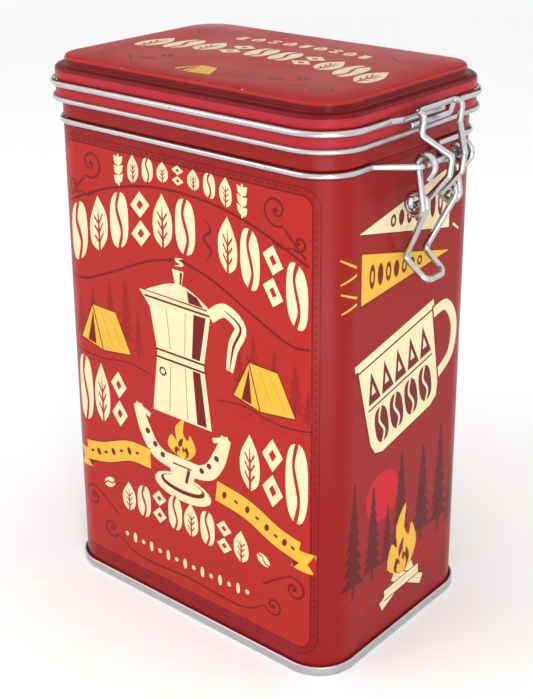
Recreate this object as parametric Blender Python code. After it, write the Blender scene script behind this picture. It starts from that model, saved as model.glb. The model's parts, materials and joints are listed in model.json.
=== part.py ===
"""Clip-top storage tin: a rounded box of printed tinplate with a hinged, stepped lid.

A sprung wire hoop lies in a groove round the lid and another round the body. At the left
they hook together as the hinge; at the right they carry an over-centre wire clasp.

Frame: metres, +Z up, the wide face towards -Y, the clasp at +X and the hinge at -X.
The origin is the middle of the whole object's footprint, on the surface it stands on.
"""
import math

import bmesh
import bpy
from mathutils import Matrix, Vector

# Box
BODY_WIDTH = 0.110
BODY_DEPTH = 0.075
TIN_HEIGHT = 0.175
CORNER_RADIUS = 0.012
SHEET = 0.0004
GAP = 0.0003              # between pieces that touch
CORNER_STEPS = 6

# Double seam at the foot and the panel inside it
SEAM_HEIGHT = 0.0028
SEAM_LEG = 0.0009         # the seam's outer leg, several folded layers
SEAM_EDGE = 0.0005        # rounding along its lower edges
BASE_RECESS = 0.0032
BASE_FILLET = 0.0006

# Lid
PANEL_STEP = 0.0030       # from the raised top panel down to the ledge
PANEL_INSET = 0.0012      # panel edge, inside the body wall's line
PANEL_EDGE = 0.0010       # rounding of the panel's edge
LEDGE_EDGE = 0.0010       # rounding of the ledge's edge
RISER_FOOT = 0.0006       # rounding at the riser's foot
SKIRT_CLEARANCE = 0.00145
SKIRT_DROP = 0.0095       # from the ledge to the middle of the skirt's curl
CURL_RADIUS = 0.00075
RIM_RADIUS = 0.0007       # the body's own rolled edge
SEAL_THICKNESS = 0.0016
SEAL_OVERHANG = 0.0002    # past the rolled edge, inwards
SEAL_REACH = 0.0006       # past the rolled edge, outwards

# Grooves for the hoops
LID_GROOVE_DROP = 0.0047  # from the ledge
LID_GROOVE_DEPTH = 0.0006
BODY_GROOVE_DROP = 0.0070  # from the skirt's curl
BODY_GROOVE_DEPTH = 0.0010
GROOVE_MARGIN = 0.00065   # groove's half height, past the wire's radius
GROOVE_STEPS = 6

# Wire
WIRE = 0.0019
SOFT_BEND = 0.0040
TIGHT_BEND = 0.0016
BEND_STEP = math.radians(24)
COIL_STEP = math.radians(30)

# Hinge
HINGE_LEG_GAP = 0.0005    # between the skirt's curl and the lid hoop's legs
HINGE_LEG_Y = 0.0095
HINGE_BAR_HALF = 0.0140
HINGE_JOG = 0.0060        # length of wall in which the body hoop leaves its groove
LEG_JOG = 0.0040
CROSSBAR_REACH = 0.0020

# Clasp: places are measured outwards from the wall at +X and down from the body hoop
AXLE_OUT = 0.0105
AXLE_END_GAP = 0.0010
AXLE_RUN = 0.0085         # length of wall in which the body hoop reaches out to the axle
HOOK_PLAY = 0.0008
HOOK_TIP = 0.0030
HOOK_TIP_ANGLE = math.radians(-33)
LEVER_HALF = 0.0092
EYE_PLAY = 0.0010
EYE_DROP = 0.0120
EYE_INSET = 0.0035
ARM_DROP = 0.0175
ARM_HALF = 0.0050
ARM_WALL_GAP = 0.0008
TAB_OUT = 0.0072
TAB_DROP = 0.0056
TAB_HALF = 0.0046
TAB_BEND = 0.0026
STAY_PLAY = 0.0003        # between the body hoop's own eye and its axle
STAY_TIP_ANGLE = math.radians(140)
CLASP_BULGE = 0.0015      # the lid hoop stands out this much behind the clasp
BULGE_HALF = 0.0115
BULGE_JOG = 0.0040
OVERLAP_HALF = 0.0080
LINK_HALF = 0.0094
LINK_NECK = 0.0031
NECK_UP = 0.0025
NECK_DOWN = 0.0030
LINK_SHOULDER_DROP = 0.0038
LINK_LEG_GAP = 0.0006
CROSSBAR_SEAT = 0.0004    # how far inside the lid hoop's line the crossbar seats
STUB_TIP = 0.0030
LINK_TILT = math.radians(6.5)  # swung out from hooked, so that the lid is free

# Places that follow
HALF_X = BODY_WIDTH / 2
HALF_Y = BODY_DEPTH / 2
WIRE_RADIUS = WIRE / 2
WIRE_PITCH = WIRE + GAP
LEDGE_Z = TIN_HEIGHT - PANEL_STEP
SKIRT_FACE = SKIRT_CLEARANCE + SHEET
CURL_Z = LEDGE_Z - SKIRT_DROP
CURL_MIDDLE = SKIRT_CLEARANCE + CURL_RADIUS
RIM_TOP = LEDGE_Z - SHEET - GAP - SEAL_THICKNESS - GAP
LID_HOOP_Z = LEDGE_Z - LID_GROOVE_DROP
LID_HOOP_OUT = SKIRT_FACE - LID_GROOVE_DEPTH + GAP + WIRE_RADIUS
BODY_HOOP_Z = CURL_Z - BODY_GROOVE_DROP
BODY_HOOP_OUT = WIRE_RADIUS + GAP - BODY_GROOVE_DEPTH
HINGE_LEG_OUT = CURL_MIDDLE + CURL_RADIUS + HINGE_LEG_GAP + WIRE_RADIUS
HINGE_OUT = HINGE_LEG_OUT + WIRE_PITCH
HOOK_RADIUS = WIRE + HOOK_PLAY
EYE_RADIUS = WIRE + EYE_PLAY
CLASP_HOOP_OUT = LID_HOOP_OUT + CLASP_BULGE

HINGE = Vector((-HALF_X - HINGE_OUT, 0, BODY_HOOP_Z))
AXLE = Vector((HALF_X + AXLE_OUT, 0, BODY_HOOP_Z))
EYE = AXLE - Vector((EYE_INSET, 0, EYE_DROP))


# --- shapes ---------------------------------------------------------------------------

def arc(middle, radius, start, stop, step):
    """Points on an arc in a flat plane; the angles may run either way."""
    count = max(1, math.ceil(abs(stop - start) / step - 0.001))
    angles = [start + (stop - start) * i / count for i in range(count + 1)]
    return [(middle[0] + radius * math.cos(a), middle[1] + radius * math.sin(a)) for a in angles]


def outline(offset):
    """The tin's rounded rectangle, moved outwards by offset."""
    points = []
    reach_x = HALF_X - CORNER_RADIUS
    reach_y = HALF_Y - CORNER_RADIUS
    middles = ((reach_x, -reach_y), (reach_x, reach_y), (-reach_x, reach_y), (-reach_x, -reach_y))
    for i, middle in enumerate(middles):
        start = math.pi / 2 * (i - 1)
        quarter = math.pi / 2
        points += arc(middle, CORNER_RADIUS + offset, start, start + quarter, quarter / CORNER_STEPS)
    return points


def groove(face, middle_z, depth):
    """A round-bottomed groove in an upright wall, listed from its lower edge to its upper."""
    half = WIRE_RADIUS + GROOVE_MARGIN
    points = []
    for i in range(GROOVE_STEPS + 1):
        across = 2 * i / GROOVE_STEPS - 1
        points.append((face - depth * (0.5 + 0.5 * math.cos(math.pi * across)), middle_z + half * across))
    return points


def inner_side(path):
    """The sheet's other side: the path moved to its left by the sheet's thickness."""
    moved = []
    for i, point in enumerate(path):
        here = Vector(point)
        before = here - Vector(path[i - 1]) if i > 0 else Vector(path[1]) - here
        after = Vector(path[i + 1]) - here if i + 1 < len(path) else before
        normal = (before.orthogonal().normalized() + after.orthogonal().normalized()).normalized()
        spread = max(0.5, normal.dot(before.orthogonal().normalized()))
        moved.append(tuple(here + normal * SHEET / spread))
    return moved


def loft(name, section, material, ring):
    """Sweeps a section of (offset, height) points round the tin.

    A ring's section is a closed loop; any other section runs from the middle of one face
    to the middle of the opposite one.
    """
    mesh = bpy.data.meshes.new(name)
    shape = bmesh.new()
    rows = [[shape.verts.new((x, y, z)) for x, y in outline(offset)] for offset, z in section]
    pairs = list(zip(rows, rows[1:]))
    if ring:
        pairs.append((rows[-1], rows[0]))
    else:
        shape.faces.new(rows[0])
        shape.faces.new(rows[-1])
    for low, high in pairs:
        for i in range(len(low)):
            after = (i + 1) % len(low)
            shape.faces.new((low[i], low[after], high[after], high[i]))
    bmesh.ops.recalc_face_normals(shape, faces=shape.faces)
    shape.to_mesh(mesh)
    shape.free()
    mesh.shade_smooth()
    mesh.set_sharp_from_angle(angle=math.radians(40))
    mesh.materials.append(material)
    thing = bpy.data.objects.new(name, mesh)
    bpy.context.scene.collection.objects.link(thing)
    return thing


def bent(corners, step=BEND_STEP):
    """A wire's route from (corner, bend radius) pairs; a radius of 0 is a plain point."""
    route = [corners[0][0]]
    for (before, _), (corner, radius), (after, _) in zip(corners, corners[1:], corners[2:]):
        arrive = (corner - before).normalized()
        leave = (after - corner).normalized()
        turn = arrive.angle(leave)
        if radius == 0 or turn < 0.01:
            route.append(corner)
            continue
        start = corner - arrive * radius * math.tan(turn / 2)
        inwards = (leave - arrive * arrive.dot(leave)).normalized()
        count = max(1, math.ceil(turn / step - 0.001))
        for i in range(count + 1):
            a = turn * i / count
            route.append(start + arrive * radius * math.sin(a) + inwards * radius * (1 - math.cos(a)))
    route.append(corners[-1][0])
    return route


def coil(middle, outwards, radius, start, stop, y_start, y_stop):
    """Plain points of a wire wound round a bar along Y; angles open from outwards to +Z."""
    count = max(1, math.ceil(abs(stop - start) / COIL_STEP - 0.001))
    points = []
    for i in range(count + 1):
        a = start + (stop - start) * i / count
        y = y_start + (y_stop - y_start) * i / count
        offset = Vector((outwards * radius * math.cos(a), 0, radius * math.sin(a)))
        points.append((Vector((middle.x, y, middle.z)) + offset, 0))
    return points


def mirrored(corners):
    """The same corners on the other side of the XZ plane, in reverse order."""
    return [(Vector((p.x, -p.y, p.z)), radius) for p, radius in reversed(corners)]


def wire(name, route, material, origin):
    """A round wire along the route, measured from origin."""
    curve = bpy.data.curves.new(name, "CURVE")
    curve.dimensions = "3D"
    curve.bevel_depth = WIRE_RADIUS
    curve.bevel_resolution = 2
    curve.render_resolution_u = 0
    curve.use_fill_caps = True
    spline = curve.splines.new("POLY")
    spline.points.add(len(route) - 1)
    for point, place in zip(spline.points, route):
        point.co = (*(place - origin), 1)
    curve.materials.append(material)
    thing = bpy.data.objects.new(name, curve)
    bpy.context.scene.collection.objects.link(thing)
    return thing


def finish(name, colour, metallic, roughness):
    """A material with one colour."""
    material = bpy.data.materials.new(name)
    material.use_nodes = True
    shader = material.node_tree.nodes["Principled BSDF"]
    shader.inputs["Base Color"].default_value = (*colour, 1)
    shader.inputs["Metallic"].default_value = metallic
    shader.inputs["Roughness"].default_value = roughness
    return material


def empty(name, place, parent=None):
    """A named pivot."""
    thing = bpy.data.objects.new(name, None)
    thing.location = place
    thing.parent = parent
    bpy.context.scene.collection.objects.link(thing)
    return thing


# --- sections of the sheet pieces ------------------------------------------------------

def wall_section():
    """The body wall: straight, with the hoop's groove and an edge rolled inwards."""
    lowest = SHEET + GAP
    rim_middle = (-SHEET, RIM_TOP - RIM_RADIUS)
    meets = math.asin(SHEET / RIM_RADIUS)
    start = -math.pi / 2 + meets
    face = [(0, lowest)] + groove(0, BODY_HOOP_Z, BODY_GROOVE_DEPTH)
    face.append((0, rim_middle[1] - RIM_RADIUS * math.cos(meets)))
    edge = arc(rim_middle, RIM_RADIUS, start, 3 * math.pi / 2, math.radians(36))
    return face + edge[1:] + inner_side(face[:-1])[::-1]


def base_section():
    """The base: a recessed panel, hooked round the wall's foot by the double seam."""
    inner = -SHEET - GAP - SHEET
    outer = GAP + SEAM_LEG
    seam_middle = (GAP + SEAM_LEG / 2, SEAM_HEIGHT - SEAM_LEG / 2)
    quarter = math.pi / 2
    step = math.radians(45)
    under = arc((inner - BASE_FILLET, BASE_RECESS - BASE_FILLET), BASE_FILLET, quarter, 0, step)
    under += arc((inner + SEAM_EDGE, SEAM_EDGE), SEAM_EDGE, 2 * quarter, 3 * quarter, step)
    under += arc((outer - SEAM_EDGE, SEAM_EDGE), SEAM_EDGE, -quarter, 0, step)
    over = arc(seam_middle, SEAM_LEG / 2, 0, 2 * quarter, step)
    over += [(GAP, SHEET), (-SHEET - GAP, SHEET)]
    turn = (inner - BASE_FILLET, BASE_RECESS - BASE_FILLET)
    over += arc(turn, BASE_FILLET + SHEET, 0, quarter, step)
    return under + over


def lid_section():
    """The lid: raised panel, riser, ledge, grooved skirt and its outward curl."""
    quarter = math.pi / 2
    step = math.radians(30)
    edge = -PANEL_INSET
    top = arc((edge - PANEL_EDGE, TIN_HEIGHT - PANEL_EDGE), PANEL_EDGE, quarter, 0, step)
    riser = (edge + RISER_FOOT, LEDGE_Z + RISER_FOOT)
    top += arc(riser, RISER_FOOT, 2 * quarter, 3 * quarter, math.radians(45))
    top += arc((SKIRT_FACE - LEDGE_EDGE, LEDGE_Z - LEDGE_EDGE), LEDGE_EDGE, quarter, 0, step)
    top += groove(SKIRT_FACE, LID_HOOP_Z, LID_GROOVE_DEPTH)[::-1]
    outward = math.acos((SKIRT_FACE - CURL_MIDDLE) / CURL_RADIUS)
    top.append((SKIRT_FACE, CURL_Z + CURL_RADIUS * math.sin(outward)))
    curl = arc((CURL_MIDDLE, CURL_Z), CURL_RADIUS, outward, -math.pi, math.radians(36))
    below = [(offset, z) for offset, z in inner_side([(o, -z) for o, z in top[:-1]])]
    return top + curl[1:] + [(offset, -z) for offset, z in below][::-1]


def seal_section():
    """The gasket between the lid's ledge and the body's rolled edge."""
    inner = -SHEET - RIM_RADIUS - SEAL_OVERHANG
    outer = -SHEET + RIM_RADIUS + SEAL_REACH
    low = RIM_TOP + GAP
    high = low + SEAL_THICKNESS
    return [(inner, low), (outer, low), (outer, high), (inner, high)]


# --- routes of the wires ---------------------------------------------------------------

def hoop_corner(side_x, side_y, out, z):
    """Plain points of a hoop's corner, in step with the sheet's facets, from the X side."""
    middle = (side_x * (HALF_X - CORNER_RADIUS), side_y * (HALF_Y - CORNER_RADIUS))
    start = 0 if side_x > 0 else math.pi
    stop = start + side_x * side_y * math.pi / 2
    points = arc(middle, CORNER_RADIUS + out, start, stop, math.pi / 2 / CORNER_STEPS)
    return [(Vector((x, y, z)), 0) for x, y in points]


def body_hoop_route():
    """The body hoop: clasp eye, round the back, hinge bar, round the front, clasp axle."""
    wall = HALF_X + BODY_HOOP_OUT
    z = BODY_HOOP_Z
    stay_radius = WIRE + STAY_PLAY
    stay_y = (LINK_NECK + LEVER_HALF) / 2
    low = z - stay_radius
    route = coil(AXLE, 1, stay_radius, STAY_TIP_ANGLE, -math.pi / 2, stay_y, stay_y)
    stay_end = LEVER_HALF + WIRE_PITCH
    route += [(Vector((AXLE.x - AXLE_OUT / 2, stay_y, low)), TIGHT_BEND),
              (Vector((wall, stay_end, z)), TIGHT_BEND)]
    route += hoop_corner(1, 1, BODY_HOOP_OUT, z)
    back = hoop_corner(-1, 1, BODY_HOOP_OUT, z)[::-1]
    back += [(Vector((-wall, HINGE_BAR_HALF + HINGE_JOG, z)), TIGHT_BEND),
             (Vector((HINGE.x, HINGE_BAR_HALF, z)), TIGHT_BEND)]
    route += back + mirrored(back)
    route += hoop_corner(1, -1, BODY_HOOP_OUT, z)[::-1]
    axle_start = LEVER_HALF + WIRE_PITCH + GAP
    route += [(Vector((wall, -axle_start - AXLE_RUN, z)), TIGHT_BEND),
              (Vector((AXLE.x, -axle_start, z)), TIGHT_BEND),
              (Vector((AXLE.x, LEVER_HALF + WIRE_RADIUS + AXLE_END_GAP, z)), 0)]
    return bent(route)


def lid_hoop_route():
    """The lid hoop: its ends lie one over the other at the clasp and it coils at the hinge."""
    z = LID_HOOP_Z
    side = HALF_X + LID_HOOP_OUT
    clasp = HALF_X + CLASP_HOOP_OUT
    leg = -HALF_X - HINGE_LEG_OUT
    corner_y = HINGE_LEG_Y
    pitch = WIRE_PITCH
    turns = 1.25
    route = [(Vector((clasp, OVERLAP_HALF, z)), 0),
             (Vector((clasp, -BULGE_HALF, z)), SOFT_BEND),
             (Vector((side, -BULGE_HALF - BULGE_JOG, z)), SOFT_BEND)]
    route += hoop_corner(1, -1, LID_HOOP_OUT, z)
    hinge = hoop_corner(-1, -1, LID_HOOP_OUT, z)[::-1]
    hinge += [(Vector((-side, -corner_y - 2 * LEG_JOG, z)), TIGHT_BEND),
              (Vector((leg, -corner_y - LEG_JOG, z)), TIGHT_BEND),
              (Vector((leg, -corner_y, z)), TIGHT_BEND)]
    coil_end = -corner_y + turns * pitch
    hinge += coil(HINGE, -1, pitch, math.pi, math.pi + turns * math.tau, -corner_y, coil_end)
    hinge.append((Vector((HINGE.x - CROSSBAR_REACH, coil_end, HINGE.z - pitch)), TIGHT_BEND))
    route += hinge + mirrored(hinge)
    route += hoop_corner(1, 1, LID_HOOP_OUT, z)[::-1]
    route += [(Vector((side, BULGE_HALF + BULGE_JOG, z)), SOFT_BEND),
              (Vector((clasp, BULGE_HALF, z - pitch)), SOFT_BEND),
              (Vector((clasp, -OVERLAP_HALF, z - pitch)), 0)]
    return bent(route)


def lever_route():
    """The lever: a hook over the axle, a leg, the link's eye, an arm and the finger tab."""
    reach = EYE - AXLE
    spread = math.hypot(reach.x, reach.z)
    leg_lean = math.asin((HOOK_RADIUS + EYE_RADIUS) / spread) - math.atan2(-reach.x, -reach.z)
    low = Vector((HALF_X + WIRE_RADIUS + ARM_WALL_GAP, -ARM_HALF, EYE.z - ARM_DROP))
    inset = EYE.x - low.x
    arm_lean = math.atan2(inset, ARM_DROP) + math.asin(EYE_RADIUS / math.hypot(inset, ARM_DROP))
    arm_y = -LEVER_HALF + WIRE_PITCH
    half = coil(AXLE, 1, HOOK_RADIUS, HOOK_TIP_ANGLE, math.pi + leg_lean, -LEVER_HALF, -LEVER_HALF)
    along = Vector((math.sin(HOOK_TIP_ANGLE), 0, -math.cos(HOOK_TIP_ANGLE)))
    half.insert(0, (half[0][0] + along * HOOK_TIP, 0))
    half += coil(EYE, 1, EYE_RADIUS, leg_lean, -math.tau - arm_lean, -LEVER_HALF, arm_y)
    half.append((low, TIGHT_BEND))
    half.append((low + Vector((TAB_OUT, ARM_HALF - TAB_HALF, -TAB_DROP)), TAB_BEND))
    return bent(half + mirrored(half))


def link_route():
    """The link, as it lies when hooked: stub, neck past the axle, leg and crossbar."""
    neck_x = AXLE.x + WIRE + 2 * GAP
    leg_x = HALF_X + CLASP_HOOP_OUT + WIRE + LINK_LEG_GAP
    bar_x = HALF_X + CLASP_HOOP_OUT - CROSSBAR_SEAT
    bar_z = LID_HOOP_Z + WIRE + GAP
    stub_y = LEVER_HALF + WIRE_PITCH
    half = [(Vector((EYE.x, -stub_y, EYE.z + STUB_TIP)), 0),
            (Vector((EYE.x, -stub_y, EYE.z)), TIGHT_BEND),
            (Vector((EYE.x, -LINK_NECK, EYE.z)), TIGHT_BEND),
            (Vector((neck_x, -LINK_NECK, AXLE.z - NECK_DOWN)), TIGHT_BEND),
            (Vector((neck_x, -LINK_NECK, AXLE.z + NECK_UP)), TIGHT_BEND),
            (Vector((leg_x, -LINK_HALF, LID_HOOP_Z - LINK_SHOULDER_DROP)), TIGHT_BEND),
            (Vector((leg_x, -LINK_HALF, bar_z)), TIGHT_BEND),
            (Vector((bar_x, -LINK_HALF, bar_z)), TIGHT_BEND)]
    return bent(half + mirrored(half))


# --- pieces ----------------------------------------------------------------------------

def clear_scene():
    """Removes the objects that a new file starts with."""
    for thing in list(bpy.data.objects):
        bpy.data.objects.remove(thing, do_unlink=True)


def hang(thing, parent, origin, place=None):
    """Hangs a piece on its body's empty; its mesh is then measured from origin."""
    if thing.type == "MESH":
        thing.data.transform(Matrix.Translation(-origin))
    thing.location = place or Vector()
    thing.parent = parent


def build():
    """Makes every piece."""
    clear_scene()
    body_print = finish("printed_body", (0.33, 0.018, 0.014), 0.0, 0.35)
    lid_print = finish("printed_lid", (0.42, 0.022, 0.018), 0.0, 0.35)
    tinplate = finish("bare_tinplate", (0.60, 0.60, 0.61), 1.0, 0.40)
    bright_wire = finish("steel_wire", (0.72, 0.72, 0.73), 1.0, 0.18)
    rubber = finish("gasket", (0.80, 0.80, 0.77), 0.0, 0.60)

    hoop_path = body_hoop_route()
    lid_path = lid_hoop_route()
    link_path = link_route()
    swung = [EYE.x + (p.x - EYE.x) * math.cos(LINK_TILT) + (p.z - EYE.z) * math.sin(LINK_TILT)
             for p in link_path]
    reach_right = max(swung) + WIRE_RADIUS
    reach_left = min(p.x for p in lid_path) - WIRE_RADIUS

    tin = empty("tin", (-(reach_right + reach_left) / 2, 0, 0))
    lid = empty("lid", HINGE, tin)
    lever = empty("lever", AXLE, tin)

    ground = Vector()
    hang(loft("body_wall", wall_section(), body_print, True), tin, ground)
    hang(loft("base_panel", base_section(), tinplate, False), tin, ground)
    hang(wire("body_hoop", hoop_path, bright_wire, ground), tin, ground)
    hang(loft("lid_shell", lid_section(), lid_print, False), lid, HINGE)
    hang(loft("lid_seal", seal_section(), rubber, True), lid, HINGE)
    hang(wire("lid_hoop", lid_path, bright_wire, HINGE), lid, HINGE)
    hang(wire("latch_lever", lever_route(), bright_wire, AXLE), lever, AXLE)
    link = wire("latch_link", link_path, bright_wire, EYE)
    hang(link, lever, EYE, EYE - AXLE)
    link.rotation_euler.y = LINK_TILT


build()
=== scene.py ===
"""Looks of the clip-top storage tin: printed sheet, wire hoops, wire clasp, light and camera.

Lengths are in millimetres unless a name says otherwise, measured from the middle of the tin
on the surface that it stands on; MM turns them into metres where a mesh is made.
"""
import json
import math

import bmesh
import bpy
import numpy as np
from bpy.props import FloatProperty, FloatVectorProperty, IntProperty, PointerProperty
from mathutils import Matrix, Vector
from mathutils.geometry import delaunay_2d_cdt


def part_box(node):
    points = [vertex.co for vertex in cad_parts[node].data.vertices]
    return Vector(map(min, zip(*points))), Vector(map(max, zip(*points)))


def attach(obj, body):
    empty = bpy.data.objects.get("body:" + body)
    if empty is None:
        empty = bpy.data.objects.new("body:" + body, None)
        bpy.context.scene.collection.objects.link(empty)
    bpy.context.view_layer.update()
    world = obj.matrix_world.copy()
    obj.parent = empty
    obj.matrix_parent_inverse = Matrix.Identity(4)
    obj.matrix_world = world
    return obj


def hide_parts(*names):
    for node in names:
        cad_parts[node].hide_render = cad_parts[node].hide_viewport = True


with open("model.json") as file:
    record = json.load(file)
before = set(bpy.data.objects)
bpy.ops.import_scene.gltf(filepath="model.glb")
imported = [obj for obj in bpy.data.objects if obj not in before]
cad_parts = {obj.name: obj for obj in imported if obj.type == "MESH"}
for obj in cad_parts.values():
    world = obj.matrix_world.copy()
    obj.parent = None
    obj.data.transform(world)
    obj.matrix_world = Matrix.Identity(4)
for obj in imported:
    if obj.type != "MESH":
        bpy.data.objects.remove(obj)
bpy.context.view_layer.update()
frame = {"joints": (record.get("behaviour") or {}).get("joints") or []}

bl_info = {
    "name": "Clip-top storage tin",
    "version": (1, 0, 0),
    "blender": (4, 5, 0),
    "location": "3D View > Sidebar > Storage tin",
    "description": "Printed tinplate box with a hinged lid, wire hoops and a wire clasp",
    "category": "Object",
}

MM = 0.001

# Box, as the CAD has it
HALF_X = 55.0
HALF_Y = 37.5
CORNER = 12.0
SHEET = 0.4
GAP = 0.3
SEAM_HEIGHT = 2.8
SEAM_LEG = 0.9
SEAM_EDGE = 0.5
BASE_RECESS = 3.2
BASE_FILLET = 0.6
PANEL_STEP = 3.0
PANEL_INSET = 1.2
PANEL_EDGE = 1.0
LEDGE_EDGE = 1.0
RISER_FOOT = 0.6
SKIRT_CLEARANCE = 1.45
SKIRT_DROP = 9.5
CURL_RADIUS = 0.75
RIM_RADIUS = 0.7
SEAL_THICKNESS = 1.6
SEAL_OVERHANG = 0.2
SEAL_REACH = 0.6
LID_GROOVE_DROP = 4.7
LID_GROOVE_DEPTH = 0.6
BODY_GROOVE_DROP = 7.0
BODY_GROOVE_DEPTH = 1.0
GROOVE_MARGIN = 0.65

# Wire, as the CAD has it
WIRE = 1.9
SOFT_BEND = 4.0
TIGHT_BEND = 1.6
HINGE_LEG_GAP = 0.5
HINGE_LEG_Y = 9.5
HINGE_BAR_HALF = 14.0
HINGE_JOG = 6.0
LEG_JOG = 4.0
CROSSBAR_REACH = 2.0
AXLE_OUT = 10.5
AXLE_END_GAP = 1.0
AXLE_RUN = 8.5
HOOK_PLAY = 0.8
HOOK_TIP = 3.0
HOOK_TIP_ANGLE = math.radians(-33)
LEVER_HALF = 9.2
EYE_PLAY = 1.0
ARM_DROP = 17.5
ARM_HALF = 5.0
ARM_WALL_GAP = 0.8
TAB_OUT = 7.2
TAB_DROP = 5.6
TAB_HALF = 4.6
TAB_BEND = 2.6
STAY_PLAY = 0.3
STAY_TIP_ANGLE = math.radians(140)
CLASP_BULGE = 1.5
BULGE_HALF = 11.5
BULGE_JOG = 4.0
OVERLAP_HALF = 8.0
LINK_HALF = 9.4
LINK_NECK = 3.1
NECK_UP = 2.5
NECK_DOWN = 3.0
LINK_SHOULDER_DROP = 3.8
LINK_LEG_GAP = 0.6
CROSSBAR_SEAT = 0.4
STUB_TIP = 3.0
LINK_TILT = math.radians(6.5)

# Places that the frame gives
LID_LOW, LID_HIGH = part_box("lid_shell")
CENTRE = Vector(((LID_LOW[0] + LID_HIGH[0]) / 2, 0, 0)) / MM
TIN_HEIGHT = LID_HIGH[2] / MM
PIVOTS = {joint["name"]: Vector(joint["pos_m"]) / MM - CENTRE for joint in frame["joints"]}
HINGE = PIVOTS["lid_hinge"]
AXLE = PIVOTS["lever_pivot"]
EYE = PIVOTS["link_pivot"]

# Places that follow
WIRE_RADIUS = WIRE / 2
WIRE_PITCH = WIRE + GAP
LEDGE_Z = TIN_HEIGHT - PANEL_STEP
SKIRT_FACE = SKIRT_CLEARANCE + SHEET
CURL_Z = LEDGE_Z - SKIRT_DROP
CURL_MIDDLE = SKIRT_CLEARANCE + CURL_RADIUS
RIM_TOP = LEDGE_Z - SHEET - GAP - SEAL_THICKNESS - GAP
LID_HOOP_Z = LEDGE_Z - LID_GROOVE_DROP
LID_HOOP_OUT = SKIRT_FACE - LID_GROOVE_DEPTH + GAP + WIRE_RADIUS
BODY_HOOP_Z = CURL_Z - BODY_GROOVE_DROP
BODY_HOOP_OUT = WIRE_RADIUS + GAP - BODY_GROOVE_DEPTH
HINGE_LEG_OUT = CURL_MIDDLE + CURL_RADIUS + HINGE_LEG_GAP + WIRE_RADIUS
HOOK_RADIUS = WIRE + HOOK_PLAY
EYE_RADIUS = WIRE + EYE_PLAY
CLASP_HOOP_OUT = LID_HOOP_OUT + CLASP_BULGE

# Fineness
CORNER_STEPS = 24
GROOVE_STEPS = 12
BEND_STEP = math.radians(9)
COIL_STEP = math.radians(10)
WIRE_SIDES = 16
FLAT_COLUMN = 12.0        # widest column of the sheet on a flat side
MESH_EPSILON = 0.0005

# The print on the unrolled sheet: distances run from the middle of the front, towards +X
QUARTER = CORNER * math.pi / 2
FLAT_X = HALF_X - CORNER
FLAT_Y = HALF_Y - CORNER
PERIMETER = 4 * (FLAT_X + FLAT_Y + QUARTER)
SIDE = FLAT_X + QUARTER + FLAT_Y
BACK = PERIMETER / 2
LAP_SEAM = -SIDE - 34.0    # where the sheet's two ends meet, in the corner behind the hinge side
PRINT_LOW = SHEET + GAP
PRINT_HIGH = BODY_HOOP_Z - WIRE_RADIUS - GROOVE_MARGIN
# The riser and ledge red among these inks is painted shade, not print.
# The skirt red among these inks is painted reflection, not print.
INKS = ("field", "panel", "ledge_shade", "sheened_skirt", "line", "shade", "pine", "sun", "cream", "yellow")

# Studio: the camera in millimetres, everything else in metres
CAMERA_PLACE = Vector((254.3, -299.2, 254.6))
CAMERA_ROLL = math.radians(0.3)
CAMERA_SHIFT = -0.1495
SENSOR_HEIGHT = 36.0
FLOOR_HALF = 4.0
FLOOR_DROP = 0.0002
CARD_PLACE = (-1.00, 1.20, 1.15)
CARD_HALF_WIDE = 1.4
CARD_HALF_HIGH = 0.65
TIN_MIDDLE = (0, 0, 0.09)
KEY_PLACE = (-0.55, -0.85, 0.75)
KEY_SIZE = (0.6, 0.6)
FILL_PLACE = (0.80, -0.62, 0.30)
FILL_SIZE = (0.10, 0.9)
LOW_PLACE = (0.20, -0.19, 0.012)
LOW_AIM = (0.15, -0.14, 0.3)
LOW_SIZE = (0.24, 0.26)


def srgb(red, green, blue):
    """A linear colour from the 0 to 255 numbers of a colour chart."""
    linear = []
    for value in (red, green, blue):
        part = value / 255
        linear.append(part / 12.92 if part <= 0.04045 else ((part + 0.055) / 1.055) ** 2.4)
    return tuple(linear)


# --- settings a user would change ---------------------------------------------------------

def colour(name, description, default):
    """A colour setting."""
    return FloatVectorProperty(name=name, description=description, subtype="COLOR", size=3,
                               min=0, max=1, default=default)


class TinColours(bpy.types.PropertyGroup):
    """Inks, metals and rubber; the lid's riser and ledge red is painted shade and its skirt red is painted
    reflection.
    """
    field: colour("Field red", "Ground colour of the sides", srgb(135, 20, 16))
    panel: colour("Panel red", "Brighter red of the framed panels and the lid", srgb(160, 31, 25))
    # Painted shade: the lid's riser and ledge get a darker red that stands in for the shade on them.
    ledge_shade: colour("Deep red", "Lid's riser and ledge", srgb(104, 10, 13))
    # Painted reflection: the skirt's red is paler and pinker, standing in for the white room's sheen on its
    # lacquer.
    sheened_skirt: colour("Skirt red", "Lid's skirt", srgb(162, 34, 42))
    line: colour("Line red", "Frames, swoops and line work", srgb(106, 13, 13))
    shade: colour("Shade red", "Distant trees and ground on the panels", srgb(142, 23, 20))
    pine: colour("Pine red", "Dark trees on the narrow sides", srgb(88, 9, 12))
    sun: colour("Sun red", "Sun disc on the narrow sides", srgb(182, 11, 27))
    cream: colour("Cream", "Main ornament", srgb(217, 204, 164))
    yellow: colour("Yellow", "Tents, ribbons, pennants and flames", srgb(212, 166, 55))
    tinplate: colour("Tinplate", "Bare sheet and seams", (0.50, 0.50, 0.51))
    wire: colour("Wire", "Bright drawn wire", (0.50, 0.50, 0.51))
    gasket: colour("Gasket", "Sealing ring", srgb(226, 224, 214))


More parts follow.
